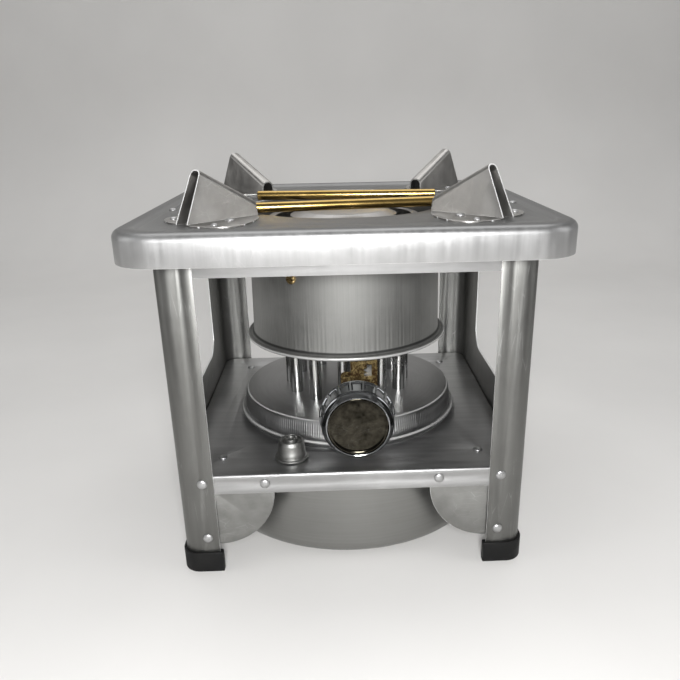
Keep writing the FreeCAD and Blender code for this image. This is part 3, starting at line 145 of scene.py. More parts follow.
class StoveStudio(bpy.types.PropertyGroup):
    """Floor, backdrop and lamps."""
    floor: colour_setting("Floor", "Colour of the floor and backdrop", (0.70, 0.69, 0.675))
    surround: colour_setting("Surround", "Colour of the room round the set", (0.16, 0.16, 0.16))
    key_power: power_setting("Key lamp", "Power of the lamp over the camera", 5.0)
    top_power: power_setting("Top lamp", "Power of the wide lamp overhead", 15.0)
    side_power: power_setting("Side lamps", "Power of each lamp at the sides", 2.4)


# ---------------------------------------------------------------- node helpers
def add_node(tree, kind, values=None, **settings):
    """New node; values maps its inputs to numbers or to the outputs that feed them."""
    made = tree.nodes.new(kind)
    for name, value in settings.items():
        setattr(made, name, value)
    for key, value in (values or {}).items():
        if isinstance(value, bpy.types.NodeSocket):
            tree.links.new(value, made.inputs[key])
        else:
            made.inputs[key].default_value = value
    return made


def arithmetic(tree, operation, first, second=None):
    values = {0: first} if second is None else {0: first, 1: second}
    return add_node(tree, "ShaderNodeMath", values, operation=operation).outputs[0]


def vector_step(tree, operation, first, second=None):
    values = {0: first} if second is None else {0: first, 1: second}
    return add_node(tree, "ShaderNodeVectorMath", values, operation=operation).outputs[0]


def noise(tree, where, scale, detail, roughness=0.5, distortion=0.0):
    return add_node(tree, "ShaderNodeTexNoise", {
        "Vector": where, "Scale": scale, "Detail": detail, "Roughness": roughness,
        "Distortion": distortion}).outputs[0]


def stretch_range(tree, value, low, high, to_low, to_high):
    """Value taken from one range to another and held inside it."""
    return add_node(tree, "ShaderNodeMapRange",
                    {0: value, 1: low, 2: high, 3: to_low, 4: to_high}, clamp=True).outputs[0]


def blend_colours(tree, amount, first, second, mode="MIX"):
    return add_node(tree, "ShaderNodeMix", {0: amount, 6: first, 7: second}, data_type="RGBA",
                    blend_type=mode, clamp_factor=True).outputs[2]


def relief(tree, height, strength, distance):
    """Normal of a surface with a fine relief."""
    return add_node(tree, "ShaderNodeBump", {"Height": height, "Strength": strength,
                                             "Distance": distance}).outputs[0]


def feed(tree, inputs, values):
    """Links outputs to the inputs that they are named for."""
    for name, value in values.items():
        tree.links.new(value, inputs[name])


def new_group(name, inputs, outputs):
    """Empty node group; returns its tree, what it is given and the inputs of its result."""
    tree = bpy.data.node_groups.new(name, "ShaderNodeTree")
    for label, kind, value in inputs:
        socket = tree.interface.new_socket(name=label, in_out="INPUT", socket_type=kind)
        if value is not None:
            socket.default_value = value
    for label, kind in outputs:
        tree.interface.new_socket(name=label, in_out="OUTPUT", socket_type=kind)
    start = tree.nodes.new("NodeGroupInput")
    end = tree.nodes.new("NodeGroupOutput")
    return tree, start.outputs, end.inputs


GRAIN_OUTPUTS = [("Color", "NodeSocketColor"), ("Roughness", "NodeSocketFloat"),
                 ("Normal", "NodeSocketVector")]


def grain_inputs(*more):
    """Inputs that both kinds of grain have, with the ones that only one has."""
    return [("Vector", "NodeSocketVector", None), ("Light", "NodeSocketColor", (0.7, 0.7, 0.7, 1)),
            ("Dark", "NodeSocketColor", (0.5, 0.5, 0.5, 1)), ("Cloud Size", "NodeSocketFloat", 22.0),
            ("Rough Low", "NodeSocketFloat", 0.25), ("Rough High", "NodeSocketFloat", 0.45),
            ("Depth", "NodeSocketFloat", 0.15)] + list(more)


def sheet_grain_group():
    """Rolled sheet: streaks along one direction over soft clouds, with fine scratches."""
    tree, given, result = new_group("sheet_grain", grain_inputs(
        ("Stretch", "NodeSocketVector", (1.0, 1.0, 0.02)),
        ("Scratches", "NodeSocketFloat", 0.3)), GRAIN_OUTPUTS)
    stretched = vector_step(tree, "MULTIPLY", given["Vector"], given["Stretch"])
    streaks = noise(tree, stretched, 1400.0, 4.0, 0.6)
    bands = noise(tree, stretched, 260.0, 3.0, 0.55)
    clouds = noise(tree, given["Vector"], given["Cloud Size"], 5.0, 0.62, 0.6)
    lines = vector_step(tree, "MULTIPLY", stretched, (1.0, 1.0, 3.0))
    cells = add_node(tree, "ShaderNodeTexVoronoi", {"Vector": lines, "Scale": 190.0},
                     feature="DISTANCE_TO_EDGE").outputs[0]
    scratch = arithmetic(tree, "MULTIPLY", stretch_range(tree, cells, 0.0, 0.02, 1.0, 0.0),
                         stretch_range(tree, clouds, 0.5, 0.62, 0.0, 1.0))
    scratch = arithmetic(tree, "MULTIPLY", scratch, given["Scratches"])
    tone = arithmetic(tree, "ADD", arithmetic(tree, "MULTIPLY", bands, 0.45),
                      arithmetic(tree, "MULTIPLY", clouds, 0.55))
    share = stretch_range(tree, tone, 0.35, 0.65, 0.0, 1.0)
    colour = blend_colours(tree, share, given["Dark"], given["Light"])
    colour = blend_colours(tree, arithmetic(tree, "MULTIPLY", scratch, 0.5), colour, opaque(SCRATCH))
    rough = stretch_range(tree, tone, 0.35, 0.65, given["Rough Low"], given["Rough High"])
    rough = arithmetic(tree, "ADD", rough, arithmetic(tree, "MULTIPLY", scratch, 0.12))
    height = arithmetic(tree, "ADD", arithmetic(tree, "MULTIPLY", streaks, 0.7),
                        arithmetic(tree, "MULTIPLY", clouds, 0.9))
    height = arithmetic(tree, "SUBTRACT", height, scratch)
    feed(tree, result, {"Color": colour, "Roughness": rough,
                        "Normal": relief(tree, height, given["Depth"], 0.2 * MM)})
    return tree


def round_grain_group():
    """Spun or drawn metal: marks round, up or outwards from the local Z axis, over soft clouds."""
    tree, given, result = new_group("round_grain", grain_inputs(
        ("Around", "NodeSocketFloat", 40.0), ("Up", "NodeSocketFloat", 10.0),
        ("Outwards", "NodeSocketFloat", 10.0)), GRAIN_OUTPUTS)
    parts = add_node(tree, "ShaderNodeSeparateXYZ", {0: given["Vector"]}).outputs
    flat = add_node(tree, "ShaderNodeCombineXYZ", {0: parts[0], 1: parts[1], 2: 0.0}).outputs[0]
    radius = add_node(tree, "ShaderNodeVectorMath", {0: flat}, operation="LENGTH").outputs[1]
    around = add_node(tree, "ShaderNodeVectorMath",
                      {0: vector_step(tree, "NORMALIZE", flat), "Scale": given["Around"]},
                      operation="SCALE").outputs[0]
    lift = arithmetic(tree, "ADD", arithmetic(tree, "MULTIPLY", parts[2], given["Up"]),
                      arithmetic(tree, "MULTIPLY", radius, given["Outwards"]))
    rise = add_node(tree, "ShaderNodeCombineXYZ", {0: 0.0, 1: 0.0, 2: lift}).outputs[0]
    marks = noise(tree, vector_step(tree, "ADD", around, rise), 1.0, 5.0, 0.65)
    clouds = noise(tree, given["Vector"], given["Cloud Size"], 5.0, 0.6, 0.5)
    tone = arithmetic(tree, "ADD", arithmetic(tree, "MULTIPLY", marks, 0.5),
                      arithmetic(tree, "MULTIPLY", clouds, 0.5))
    share = stretch_range(tree, tone, 0.36, 0.64, 0.0, 1.0)
    rough = stretch_range(tree, share, 0.0, 1.0, given["Rough Low"], given["Rough High"])
    height = arithmetic(tree, "ADD", marks, clouds)
    feed(tree, result, {"Color": blend_colours(tree, share, given["Dark"], given["Light"]),
                        "Roughness": rough,
                        "Normal": relief(tree, height, given["Depth"], 0.25 * MM)})
    return tree


def stain_group():
    """Patches of a second colour: heat tint, rust or grime. The mask also dulls the surface."""
    tree, given, result = new_group("stain", [
        ("Vector", "NodeSocketVector", None), ("Color", "NodeSocketColor", (0.7, 0.7, 0.7, 1)),
        ("Stain", "NodeSocketColor", (0.3, 0.2, 0.1, 1)), ("Size", "NodeSocketFloat", 40.0),
        ("Cover", "NodeSocketFloat", 0.5)],
        [("Color", "NodeSocketColor"), ("Mask", "NodeSocketFloat")])
    patches = noise(tree, given["Vector"], given["Size"], 7.0, 0.68, 1.2)
    edge = arithmetic(tree, "SUBTRACT", 0.75, arithmetic(tree, "MULTIPLY", given["Cover"], 0.5))
    mask = stretch_range(tree, patches, edge, arithmetic(tree, "ADD", edge, 0.14), 0.0, 1.0)
    colour = blend_colours(tree, mask, given["Color"], given["Stain"])
    feed(tree, result, {"Color": colour, "Mask": mask})
    return tree


def use_group(tree, name, values):
    return add_node(tree, "ShaderNodeGroup", values, node_tree=GROUPS[name]).outputs


def opaque(colour, shade=1.0):
    return (colour[0] * shade, colour[1] * shade, colour[2] * shade, 1.0)


def object_coordinates(tree):
    return tree.nodes.new("ShaderNodeTexCoord").outputs["Object"]


def new_material(name, metallic=1.0, roughness=0.4):
    """Material with a Principled shader; returns it with its tree, shader and Object coordinates."""
    material = bpy.data.materials.new(name)
    material.use_nodes = True
    tree = material.node_tree
    shader = tree.nodes["Principled BSDF"]
    shader.inputs["Metallic"].default_value = metallic
    shader.inputs["Roughness"].default_value = roughness
    return material, tree, shader, object_coordinates(tree)


def centred(tree, where, at, turn):
    """Object coordinates moved so that a round piece's axis becomes the local Z axis."""
    shifted = vector_step(tree, "SUBTRACT", where, tuple(at))
    return add_node(tree, "ShaderNodeMapping", {"Vector": shifted, "Rotation": turn}).outputs[0]


def grained(name, group, colour, contrast, rough, values, centre=None):
    """Metal with one of the shared grains, round a centre and its turn where they are given."""
    material, tree, shader, where = new_material(name)
    if centre is not None:
        where = centred(tree, where, *centre)
    grain = use_group(tree, group, {
        "Vector": where, "Light": opaque(colour, 1 + contrast), "Dark": opaque(colour, 1 - contrast),
        "Rough Low": rough[0], "Rough High": rough[1], **values})
    feed(tree, shader.inputs, {"Base Color": grain["Color"], "Roughness": grain["Roughness"],
                               "Normal": grain["Normal"]})
    return material


def sheet_finish(name, colour, stretch, rough=(0.26, 0.46), depth=0.18, cloud=20.0, contrast=0.16,
                 scratches=0.4):
    """Sheet metal with streaks along the direction that stretch leaves small."""
    return grained(name, "sheet_grain", colour, contrast, rough, {
        "Stretch": stretch, "Cloud Size": cloud, "Depth": depth, "Scratches": scratches})


def round_finish(name, colour, marks, rough=(0.22, 0.4), depth=0.15, cloud=22.0, contrast=0.14,
                 at=(0, 0, 0), turn=(0, 0, 0)):
    """Spun or drawn metal; marks gives the scale of its marks around, up and outwards."""
    around, up, outwards = marks
    return grained(name, "round_grain", colour, contrast, rough, {
        "Around": around, "Up": up, "Outwards": outwards, "Cloud Size": cloud, "Depth": depth},
        centre=(at, turn))


def fibre_finish(name, colour, scale, detail, fineness, tones, shades, strength, roughness):
    """Felt or cotton: threads between a dark and a light shade of one colour."""
    material, tree, shader, where = new_material(name, metallic=0.0, roughness=roughness)
    threads = noise(tree, where, scale, detail, fineness)
    share = stretch_range(tree, threads, tones[0], tones[1], 0.0, 1.0)
    dark, light = shades
    feed(tree, shader.inputs, {
        "Base Color": blend_colours(tree, share, opaque(colour, dark), opaque(colour, light)),
        "Normal": relief(tree, threads, strength, 0.3 * MM)})
    return material


def worked(material):
    """Tree and shader of a finished material, and what feeds its colour."""
    tree = material.node_tree
    shader = tree.nodes["Principled BSDF"]
    return tree, shader, shader.inputs["Base Color"].links[0].from_socket


def stained(material, colour, size, cover, roughness_gain=0.2):
    """Adds a stain between a material's grain and its shader."""
    tree, shader, grain = worked(material)
    stain = use_group(tree, "stain", {"Vector": object_coordinates(tree), "Color": grain,
                                      "Stain": opaque(colour), "Size": size, "Cover": cover})
    rough = shader.inputs["Roughness"].links[0].from_socket
    more = arithmetic(tree, "MULTIPLY", stain["Mask"], roughness_gain)
    feed(tree, shader.inputs, {"Base Color": stain["Color"],
                               "Roughness": arithmetic(tree, "ADD", rough, more)})


def darken(material, share, shade):
    """Darkens a finished material by a share that changes over the surface."""
    tree, shader, grain = worked(material)
    darker = blend_colours(tree, share, grain, opaque((shade, shade, shade)), mode="MULTIPLY")
    tree.links.new(darker, shader.inputs["Base Color"])


def paint_top_shade(material, shade):
    """Paints shade on the faces that look up: a darker copy of the colour, in place of the darker room
    they reflect.
    """
    tree = material.node_tree
    normal = tree.nodes.new("ShaderNodeNewGeometry").outputs["Normal"]
    upward = add_node(tree, "ShaderNodeSeparateXYZ", {0: normal}).outputs[2]
    darken(material, stretch_range(tree, upward, 0.7, 0.99, 0.0, 1.0), shade)


def paint_groove_shade(material, height, reach, shade):
    """Darkens a narrow band round a piece with painted shade, the shadow line of a groove."""
    tree = material.node_tree
    rise = add_node(tree, "ShaderNodeSeparateXYZ", {0: object_coordinates(tree)}).outputs[2]
    away = arithmetic(tree, "ABSOLUTE", arithmetic(tree, "SUBTRACT", rise, height))
    darken(material, stretch_range(tree, away, 0.3 * reach, reach, 1.0, 0.0), shade)


def edge_highlight_finish(name, colour):
    """Bright finish for edges and crests: partly the bare metal's own brightness, partly a painted
    highlight.
    """
    material = sheet_finish(name, colour, (0.5, 0.5, 0.5), rough=(0.34, 0.46), depth=0.06,
                            cloud=60.0, contrast=0.06, scratches=0.0)
    material.node_tree.nodes["Principled BSDF"].inputs["Metallic"].default_value = 0.4
    return material


# ---------------------------------------------------------------- mesh helpers
def turned_shape(profile, steps, closed=True):
    """Profile of (radius, height) turned once round the Z axis."""
    shape = bmesh.new()
    rim = [shape.verts.new((radius, 0.0, height)) for radius, height in profile]
    lines = [shape.edges.new(pair) for pair in zip(rim, rim[1:])]
    if closed:
        lines.append(shape.edges.new((rim[-1], rim[0])))
    bmesh.ops.spin(shape, geom=rim + lines, cent=(0, 0, 0), axis=(0, 0, 1), dvec=(0, 0, 0),
                   angle=FULL_TURN, steps=steps, use_merge=True, use_duplicate=False)
    bmesh.ops.remove_doubles(shape, verts=shape.verts, dist=TOUCHING)
    bmesh.ops.dissolve_degenerate(shape, edges=shape.edges, dist=TOUCHING)
    bmesh.ops.recalc_face_normals(shape, faces=shape.faces)
    return shape


def rounded_profile(corners):
    """(radius, height, rounding) corners to (radius, height) points, each corner an arc."""
    points = []
    count = len(corners)
    for index, (x, y, rounding) in enumerate(corners):
        here = Vector((x, y))
        if rounding <= 0:
            points.append((x, y))
            continue
        before = (Vector(corners[index - 1][:2]) - here).normalized()
        after = (Vector(corners[(index + 1) % count][:2]) - here).normalized()
        half = before.angle(after) / 2
        tangent = rounding / math.tan(half)
        middle = here + (before + after).normalized() * (rounding / math.sin(half))
        start = here + before * tangent - middle
        sweep = start.angle_signed(here + after * tangent - middle)
        steps = max(3, int(abs(sweep) / 0.2))
        for step in range(steps + 1):
            points.append(tuple(middle + Matrix.Rotation(-sweep * step / steps, 2) @ start))
    return points


def radius_of(point):
    """Distance of a point from the Z axis."""
    return math.hypot(point.x, point.y)


def angle_of(point):
    return math.atan2(point.y, point.x)


def push_out(vertex, distance):
    """Moves a vertex away from the Z axis, or towards it."""
    radius = radius_of(vertex.co)
    vertex.co.x *= (radius + distance) / radius
    vertex.co.y *= (radius + distance) / radius


def held(value):
    return min(1.0, max(0.0, value))


def eased(share):
    """Share from 0 to 1 with a soft start and a soft end."""
    return share * share * (3 - 2 * share)


def append_shape(target, source, matrix):
    """Adds a moved copy of one bmesh to another."""
    loose = bpy.data.meshes.new("loose")
    source.to_mesh(loose)
    loose.transform(matrix)
    target.from_mesh(loose)
    bpy.data.meshes.remove(loose)


def smooth_object(shape, name, material):
    """Object at the origin from a finished bmesh."""
    mesh = bpy.data.meshes.new(name)
    shape.to_mesh(mesh)
    shape.free()
    mesh.shade_smooth()
    mesh.materials.append(material)
    made = bpy.data.objects.new(name, mesh)
    bpy.context.scene.collection.objects.link(made)
    return made


def show(shape, name, material, body, slot, nodes=(), crease=38.0, edges=None):
    """Puts a finished bmesh in the scene, on its body, for the CAD nodes that it replaces."""
    piece = smooth_object(shape, name, material)
    piece.data.set_sharp_from_angle(angle=math.radians(crease))
    if edges:
        piece.data.materials.append(edges)
    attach(piece, body)
    if nodes:
        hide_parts(*nodes)


def merged_copy(node):
    """Copy of a CAD node's mesh with its loose triangles joined."""
    shape = bmesh.new()
    shape.from_mesh(frame["nodes"][node].data)
    bmesh.ops.remove_doubles(shape, verts=shape.verts, dist=MERGE)
    return shape


def cad_shape(node):
    """Merged copy of a CAD node's mesh, its flat faces joined."""
    shape = merged_copy(node)
    bmesh.ops.dissolve_degenerate(shape, edges=shape.edges, dist=MERGE / 2)
    bmesh.ops.dissolve_limit(shape, angle_limit=math.radians(0.4), use_dissolve_boundaries=False,
                             verts=shape.verts, edges=shape.edges, delimit={"NORMAL"})
    return shape


def break_edges(shape, width):
    """Rounds the sharp edges of a shape a little, and gives cut edges and the rounded edges the second
    material, which in most uses carries a painted highlight.
    """
    sharp = {edge for edge in shape.edges
             if len(edge.link_faces) == 2 and edge.calc_face_angle(0) > SHARP_EDGE}
    for face in shape.faces:
        around = sum(edge.calc_length() for edge in face.edges)
        joined = max((edge.calc_length() for edge in face.edges if edge not in sharp), default=0.0)
        narrow = joined < THICKEST_SHEET and 2 * face.calc_area() < THICKEST_SHEET * around
        if narrow and sum(edge in sharp for edge in face.edges) > 1:
            face.material_index = 1
    rounded = bmesh.ops.bevel(shape, geom=list(sharp), offset=width, offset_type="OFFSET",
                              affect="EDGES", segments=2, profile=0.5, material=-1, clamp_overlap=True)
    for face in rounded["faces"]:
        face.material_index = 1


def mark_faces(shape, wanted):
    """Gives the second material to faces by the radius and height of their middle."""
    for face in shape.faces:
        middle = face.calc_center_median()
        if wanted(radius_of(middle), middle.z):
            face.material_index = 1


def islands(shape):
    """Groups of connected vertices."""
    seen = set()
    for start in shape.verts:
        if start in seen:
            continue
        seen.add(start)
        island = [start]
        for vertex in island:
            for edge in vertex.link_edges:
                other = edge.other_vert(vertex)
                if other not in seen:
                    seen.add(other)
                    island.append(other)
        yield island


def island_box(island):
    low = Vector([min(v.co[axis] for v in island) for axis in range(3)])
    high = Vector([max(v.co[axis] for v in island) for axis in range(3)])
    return low, high


def body_with(node):
    for body, members in frame["record"]["behaviour"]["bodies"].items():
        if node in members:
            return body
    raise RuntimeError("no body holds the node " + node)


def slot_with(node):
    for part in frame["record"]["subparts"]:
        if part["node"] == node:
            return part["material_slot"]
    raise RuntimeError("no subpart is named " + node)


def dress(material, *nodes):
    """Gives CAD nodes a finish."""
    for node in nodes:
        mesh = frame["nodes"][node].data
        mesh.materials.clear()
        mesh.materials.append(material)


def soften(material, edges, width, *nodes):
    """Shows CAD nodes with broken edges, a finish for the faces and one for the edges."""
    for node in nodes:
        shape = cad_shape(node)
        break_edges(shape, width)
        show(shape, node + "_sheet", material, body_with(node), slot_with(node), [node], edges=edges)


def steady_noise(angle, seed):
    """Sum of sines round a circle, between about -1 and 1; the seed mixes their counts."""
    waves = 9
    total = 0.0
    for wave in range(waves):
        count = 17 + (wave * 37 + seed * 13) % 131
        total += math.sin(count * angle + seed * 1.7 + wave * 2.3) / (1 + 0.12 * wave)
    return total / (0.62 * waves)


# ---------------------------------------------------------------- operators
class STOVE_OT_finishes(bpy.types.Operator):
    """Builds the node groups that several finishes share"""
    bl_idname = "stove.finishes"
    bl_label = "Shared Finishes"

    def execute(self, context):
        GROUPS["sheet_grain"] = sheet_grain_group()
        GROUPS["round_grain"] = round_grain_group()
        GROUPS["stain"] = stain_group()
        return {"FINISHED"}


class STOVE_OT_frame_sheets(bpy.types.Operator):
    """Finishes the legs, rails, gussets, shelf and top plate"""
    bl_idname = "stove.frame_sheets"
    bl_label = "Frame Sheets"

    def execute(self, context):
        colours = context.scene.stove_colours
        width = context.scene.stove_sizes.edge_break
        # the legs' aluminium with painted shade
        legs = sheet_finish("leg_sheet_shaded", colours.leg_aluminium_shaded, (1.0, 1.0, 0.035),
                            rough=(0.38, 0.52), depth=0.14, contrast=0.12)
        rail = sheet_finish("rail_sheet", colours.aluminium, (0.05, 1.0, 1.0),
                            rough=(0.36, 0.5), depth=0.12, contrast=0.12)
        tray = sheet_finish("tray_sheet", colours.aluminium, (0.05, 1.0, 1.0),
                            rough=(0.36, 0.5), depth=0.12, cloud=14.0)
        # painted shade on the shelf's upward faces
        paint_top_shade(tray, 0.95)
        corner_plate = sheet_finish("corner_plate_sheet", colours.dull_aluminium, (0.4, 0.4, 0.4),
                                    rough=(0.36, 0.54), depth=0.14, cloud=26.0, contrast=0.2)
        plate = sheet_finish("plate_sheet", colours.aluminium, (1.0, 1.0, 0.05),
                             rough=(0.38, 0.5), depth=0.16, cloud=16.0, contrast=0.12, scratches=0.2)
        # painted shade on the top plate's upward faces
        paint_top_shade(plate, 0.4)
        # cut and rounded edges get a painted highlight
        bright = edge_highlight_finish("sheet_edge_highlight", colours.cut_edge_highlight)
        soften(legs, bright, width, "side_panel_left", "side_panel_right")
        soften(rail, bright, width, "front_rail", "rear_rail")
        soften(tray, bright, width, "shelf")
        soften(corner_plate, bright, width, *["gusset_" + corner for corner in CORNERS])
        soften(plate, bright, width, "top_plate", "well_ring")
        return {"FINISHED"}


class STOVE_OT_pot_supports(bpy.types.Operator):
    """Finishes the four pot supports and rounds their edges"""
    bl_idname = "stove.pot_supports"
    bl_label = "Pot Supports"

    def execute(self, context):
        colours = context.scene.stove_colours
        width = context.scene.stove_sizes.edge_break
        finish = sheet_finish("support_sheet", colours.galvanised, (0.5, 0.5, 0.3),
                              rough=(0.32, 0.46), depth=0.14, cloud=46.0, scratches=0.5)
        # the front supports' cut and rounded edges get a painted highlight
        bright = edge_highlight_finish("support_edge", colours.cut_edge_highlight)
        soften(finish, bright, width, "pot_support_front_left", "pot_support_front_right")
        # The rear supports' edges take the dull colour, so they come out less bright than the front
        # supports' edges.
        dim = edge_highlight_finish("sooty_support_edge", colours.dull_aluminium)
        soften(finish, dim, width, "pot_support_rear_left", "pot_support_rear_right")
        return {"FINISHED"}


class STOVE_OT_tank(bpy.types.Operator):
    """Finishes the tank, its neck and the cover, and rolls the cover's ribs"""
    bl_idname = "stove.tank"
    bl_label = "Tank and Cover"

    TOP_RADIUS = 79.6 * MM
    LOW_RADIUS = 81.4 * MM
    BEAD_HEIGHT = 6.3 * MM          # from the cover's foot to the bend above its bead
    FILLET = 3.2 * MM
    FILLET_DEPTH = 2.81 * MM        # from the wall in to the fillet's centre
    FILLET_REACH = 2.9 * MM         # from the corner to the fillet's ends
    RIB_FACES = 6                   # across one rib
    RIB_ROWS = 8
    RIB_BACK = 0.3 * MM             # how deep the ribs' band reaches into the wall
    RIB_PROUD = 0.02 * MM           # the band's own face, so that it never lies in the wall's
    RIB_FOOT = 0.4 * MM             # plain stretches below and above the ribs
    RIB_HEAD = 1.7 * MM

    def execute(self, context):
        colours = context.scene.stove_colours
        sizes = context.scene.stove_sizes
        spun = round_finish("tank_spun", colours.dull_aluminium, (1.2, 700.0, 700.0),
                            rough=(0.32, 0.4), depth=0.05, cloud=12.0, contrast=0.07)
        dress(spun, "tank_base", "tank_bowl", "tank_top", "tank_neck")
        cover = round_finish("cover_spun", colours.aluminium, (1.0, 500.0, 500.0),
                             rough=(0.3, 0.46), depth=0.1, cloud=26.0, contrast=0.16)
        # painted shade on the cover's upward faces
        paint_top_shade(cover, 0.75)
        low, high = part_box("tank_cover")
        self.press_cover(low.z, high.z, cover, edge_highlight_finish("cover_crest_highlight", colours.bright_steel))
        self.roll_ribs(low.z + self.BEAD_HEIGHT, high.z, sizes, cover)
        return {"FINISHED"}

    def press_cover(self, foot, top, finish, edges):
        """The cover with half the rounding at its top edge, and a painted highlight on the crests there
        and on the bead.
        """
        shape = cad_shape("tank_cover")
        corner = Vector((self.TOP_RADIUS, top))
        centre = corner - Vector((self.FILLET_DEPTH, self.FILLET))
        for vertex in shape.verts:
            here = Vector((radius_of(vertex.co), vertex.co.z))
            on_fillet = abs((here - centre).length - self.FILLET) <= 0.1 * MM
            if on_fillet and (here - corner).length <= self.FILLET_REACH:
                moved = (here + corner) / 2
                push_out(vertex, moved.x - here.x)
                vertex.co.z = moved.y
        bmesh.ops.recalc_face_normals(shape, faces=shape.faces)
        # painted highlight faces: the crest of the top edge and the crest of the bead
        mark_faces(shape, lambda radius, height: (
            radius > self.TOP_RADIUS - 0.9 * MM and height > top - 0.8 * MM
            or radius > self.LOW_RADIUS + 2.0 * MM and height > foot + 4.9 * MM))
        show(shape, "cover_pressed", finish, "stove", "aluminium_sheet", ["tank_cover"], edges=edges)

    def roll_ribs(self, bend, top, sizes, finish):
        """Band of fine upright ribs pressed in the cover's wall."""
        foot = bend + self.RIB_FOOT
        head = top - self.RIB_HEAD
        slope = (self.LOW_RADIUS - self.TOP_RADIUS) / (top - bend)
        heights = [foot + (head - foot) * row / self.RIB_ROWS for row in range(self.RIB_ROWS + 1)]
        outer = [(self.TOP_RADIUS + slope * (top - height) + self.RIB_PROUD, height)
                 for height in heights]
        inner = [(radius - self.RIB_BACK, height) for radius, height in reversed(outer)]
        shape = turned_shape(outer + inner, sizes.rib_count * self.RIB_FACES)
        for vertex in shape.verts:
            if radius_of(vertex.co) < self.TOP_RADIUS + slope * (top - vertex.co.z):
                continue
            share = (vertex.co.z - foot) / (head - foot)
            angle = angle_of(vertex.co)
            crest = 0.5 + 0.5 * math.cos(sizes.rib_count * angle)
            fade = min(1.0, 8 * share, 8 * (1 - share))
            uneven = 0.75 + 0.25 * steady_noise(angle, 3)
            push_out(vertex, sizes.rib_height * crest * fade * uneven)
        show(shape, "cover_ribs", finish, "stove", "aluminium_sheet")


class STOVE_OT_burner(bpy.types.Operator):
    """Draws the drum with its marks and finishes the sleeves, base and guide"""
    bl_idname = "stove.burner"
    bl_label = "Drum and Sleeves"

    TOP_RADIUS = 69.6 * MM
    LOW_RADIUS = 70.8 * MM
    WALL = 0.8 * MM
    FLARE_HEIGHT = 142.0 * MM       # where the wall turns out to the rim
    GROOVE_HEIGHT = 139.1 * MM      # above the rim's bead, where the groove gets a painted shadow line
    BEAD = 1.6 * MM
    BEAD_RADIUS = 74.0 * MM
    BEAD_HEIGHT = 136.4 * MM
    NECK_OUTSIDE = ((70.9 * MM, 141.0 * MM), (71.0 * MM, 139.9 * MM), (72.0 * MM, 138.5 * MM))
    NECK_INSIDE = ((71.6 * MM, 138.6 * MM), (70.6 * MM, 141.0 * MM))
    PLAIN_BELOW = 139.8 * MM        # the rim under this height has no marks
    WALL_ROWS = 14
    FACES_AROUND = 540

    def execute(self, context):
        colours = context.scene.stove_colours
        sizes = context.scene.stove_sizes
        dress(self.drawn_finish("drum_drawn", colours), "drum_collar")
        casing = self.drawn_finish("casing_drawn", colours)
        # painted shadow line in the groove above the drum's bead
        paint_groove_shade(casing, self.GROOVE_HEIGHT, 1.1 * MM, 0.3)
        self.draw_drum(sizes, casing, edge_highlight_finish("bead_crest_highlight", colours.bright_steel))
        blued = round_finish("sleeve_blued", colours.sleeve_steel, (30.0, 20.0, 20.0),
                             rough=(0.3, 0.5), contrast=0.2)
        stained(blued, HEAT_TINT, 34.0, 0.2)
        dress(blued, "outer_sleeve", "inner_sleeve", "flame_spreader")
        plated = sheet_finish("plated_sheet", colours.galvanised, (1.0, 1.0, 0.2), cloud=40.0)
        dress(plated, "sleeve_guide", "burner_base", "wick_carrier")
        zinc = round_finish("yellow_zinc", colours.zinc, (6.0, 300.0, 300.0),
                            rough=(0.2, 0.36), cloud=200.0)
        dress(zinc, "drum_screws", "drum_nuts")
        return {"FINISHED"}

    def drawn_finish(self, name, colours):
        """Dull drawn aluminium with upright marks."""
        return round_finish(name, colours.dull_aluminium, (95.0, 9.0, 9.0),
                            rough=(0.58, 0.72), depth=0.25, cloud=24.0, contrast=0.18)

    def draw_drum(self, sizes, finish, edges):
        """Wall that widens downwards into a rolled rim, with upright marks from the drawing."""
        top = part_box("drum")[1].z
        tall = top - self.FLARE_HEIGHT
        wall = []
        for row in range(self.WALL_ROWS + 1):
            share = row / self.WALL_ROWS
            wall.append((self.TOP_RADIUS + (self.LOW_RADIUS - self.TOP_RADIUS) * share,
                         top - tall * share))
        bead = []
        for step in range(15):
            angle = math.radians(125.0 - 20.0 * step)
            bead.append((self.BEAD_RADIUS + self.BEAD * math.cos(angle),
                         self.BEAD_HEIGHT + self.BEAD * math.sin(angle)))
        inside = [(radius - self.WALL, height) for radius, height in reversed(wall)]
        shape = turned_shape([*wall, *self.NECK_OUTSIDE, *bead, *self.NECK_INSIDE, *inside],
                             self.FACES_AROUND)
        for vertex in shape.verts:
            if vertex.co.z < self.PLAIN_BELOW:
                continue
            angle = angle_of(vertex.co)
            reach = 0.62 + 0.16 * steady_noise(angle, 11)
            deep = held(((top - vertex.co.z) / tall - reach) / 0.3)
            ripple = steady_noise(angle, 5) * 0.12 + self.ripples(angle) * deep * deep
            push_out(vertex, sizes.draw_depth * ripple)
        # painted highlight along the bead's outer crest
        mark_faces(shape, lambda radius, height: (
            radius > self.BEAD_RADIUS + 0.8 * self.BEAD
            and abs(height - self.BEAD_HEIGHT) < 0.5 * self.BEAD))
        show(shape, "drum_drawn", finish, "stove", "aluminium_sheet", ["drum"], crease=25.0, edges=edges)

    def ripples(self, angle):
        """Narrow upright folds that the drawing leaves, between about -1 and 1."""
        return (math.sin(127 * angle + 1.1 * math.sin(7 * angle)) + 0.8 * math.sin(173 * angle + 2.0)
                + 0.5 * math.sin(211 * angle + 0.7 * math.sin(11 * angle))) / 2.3


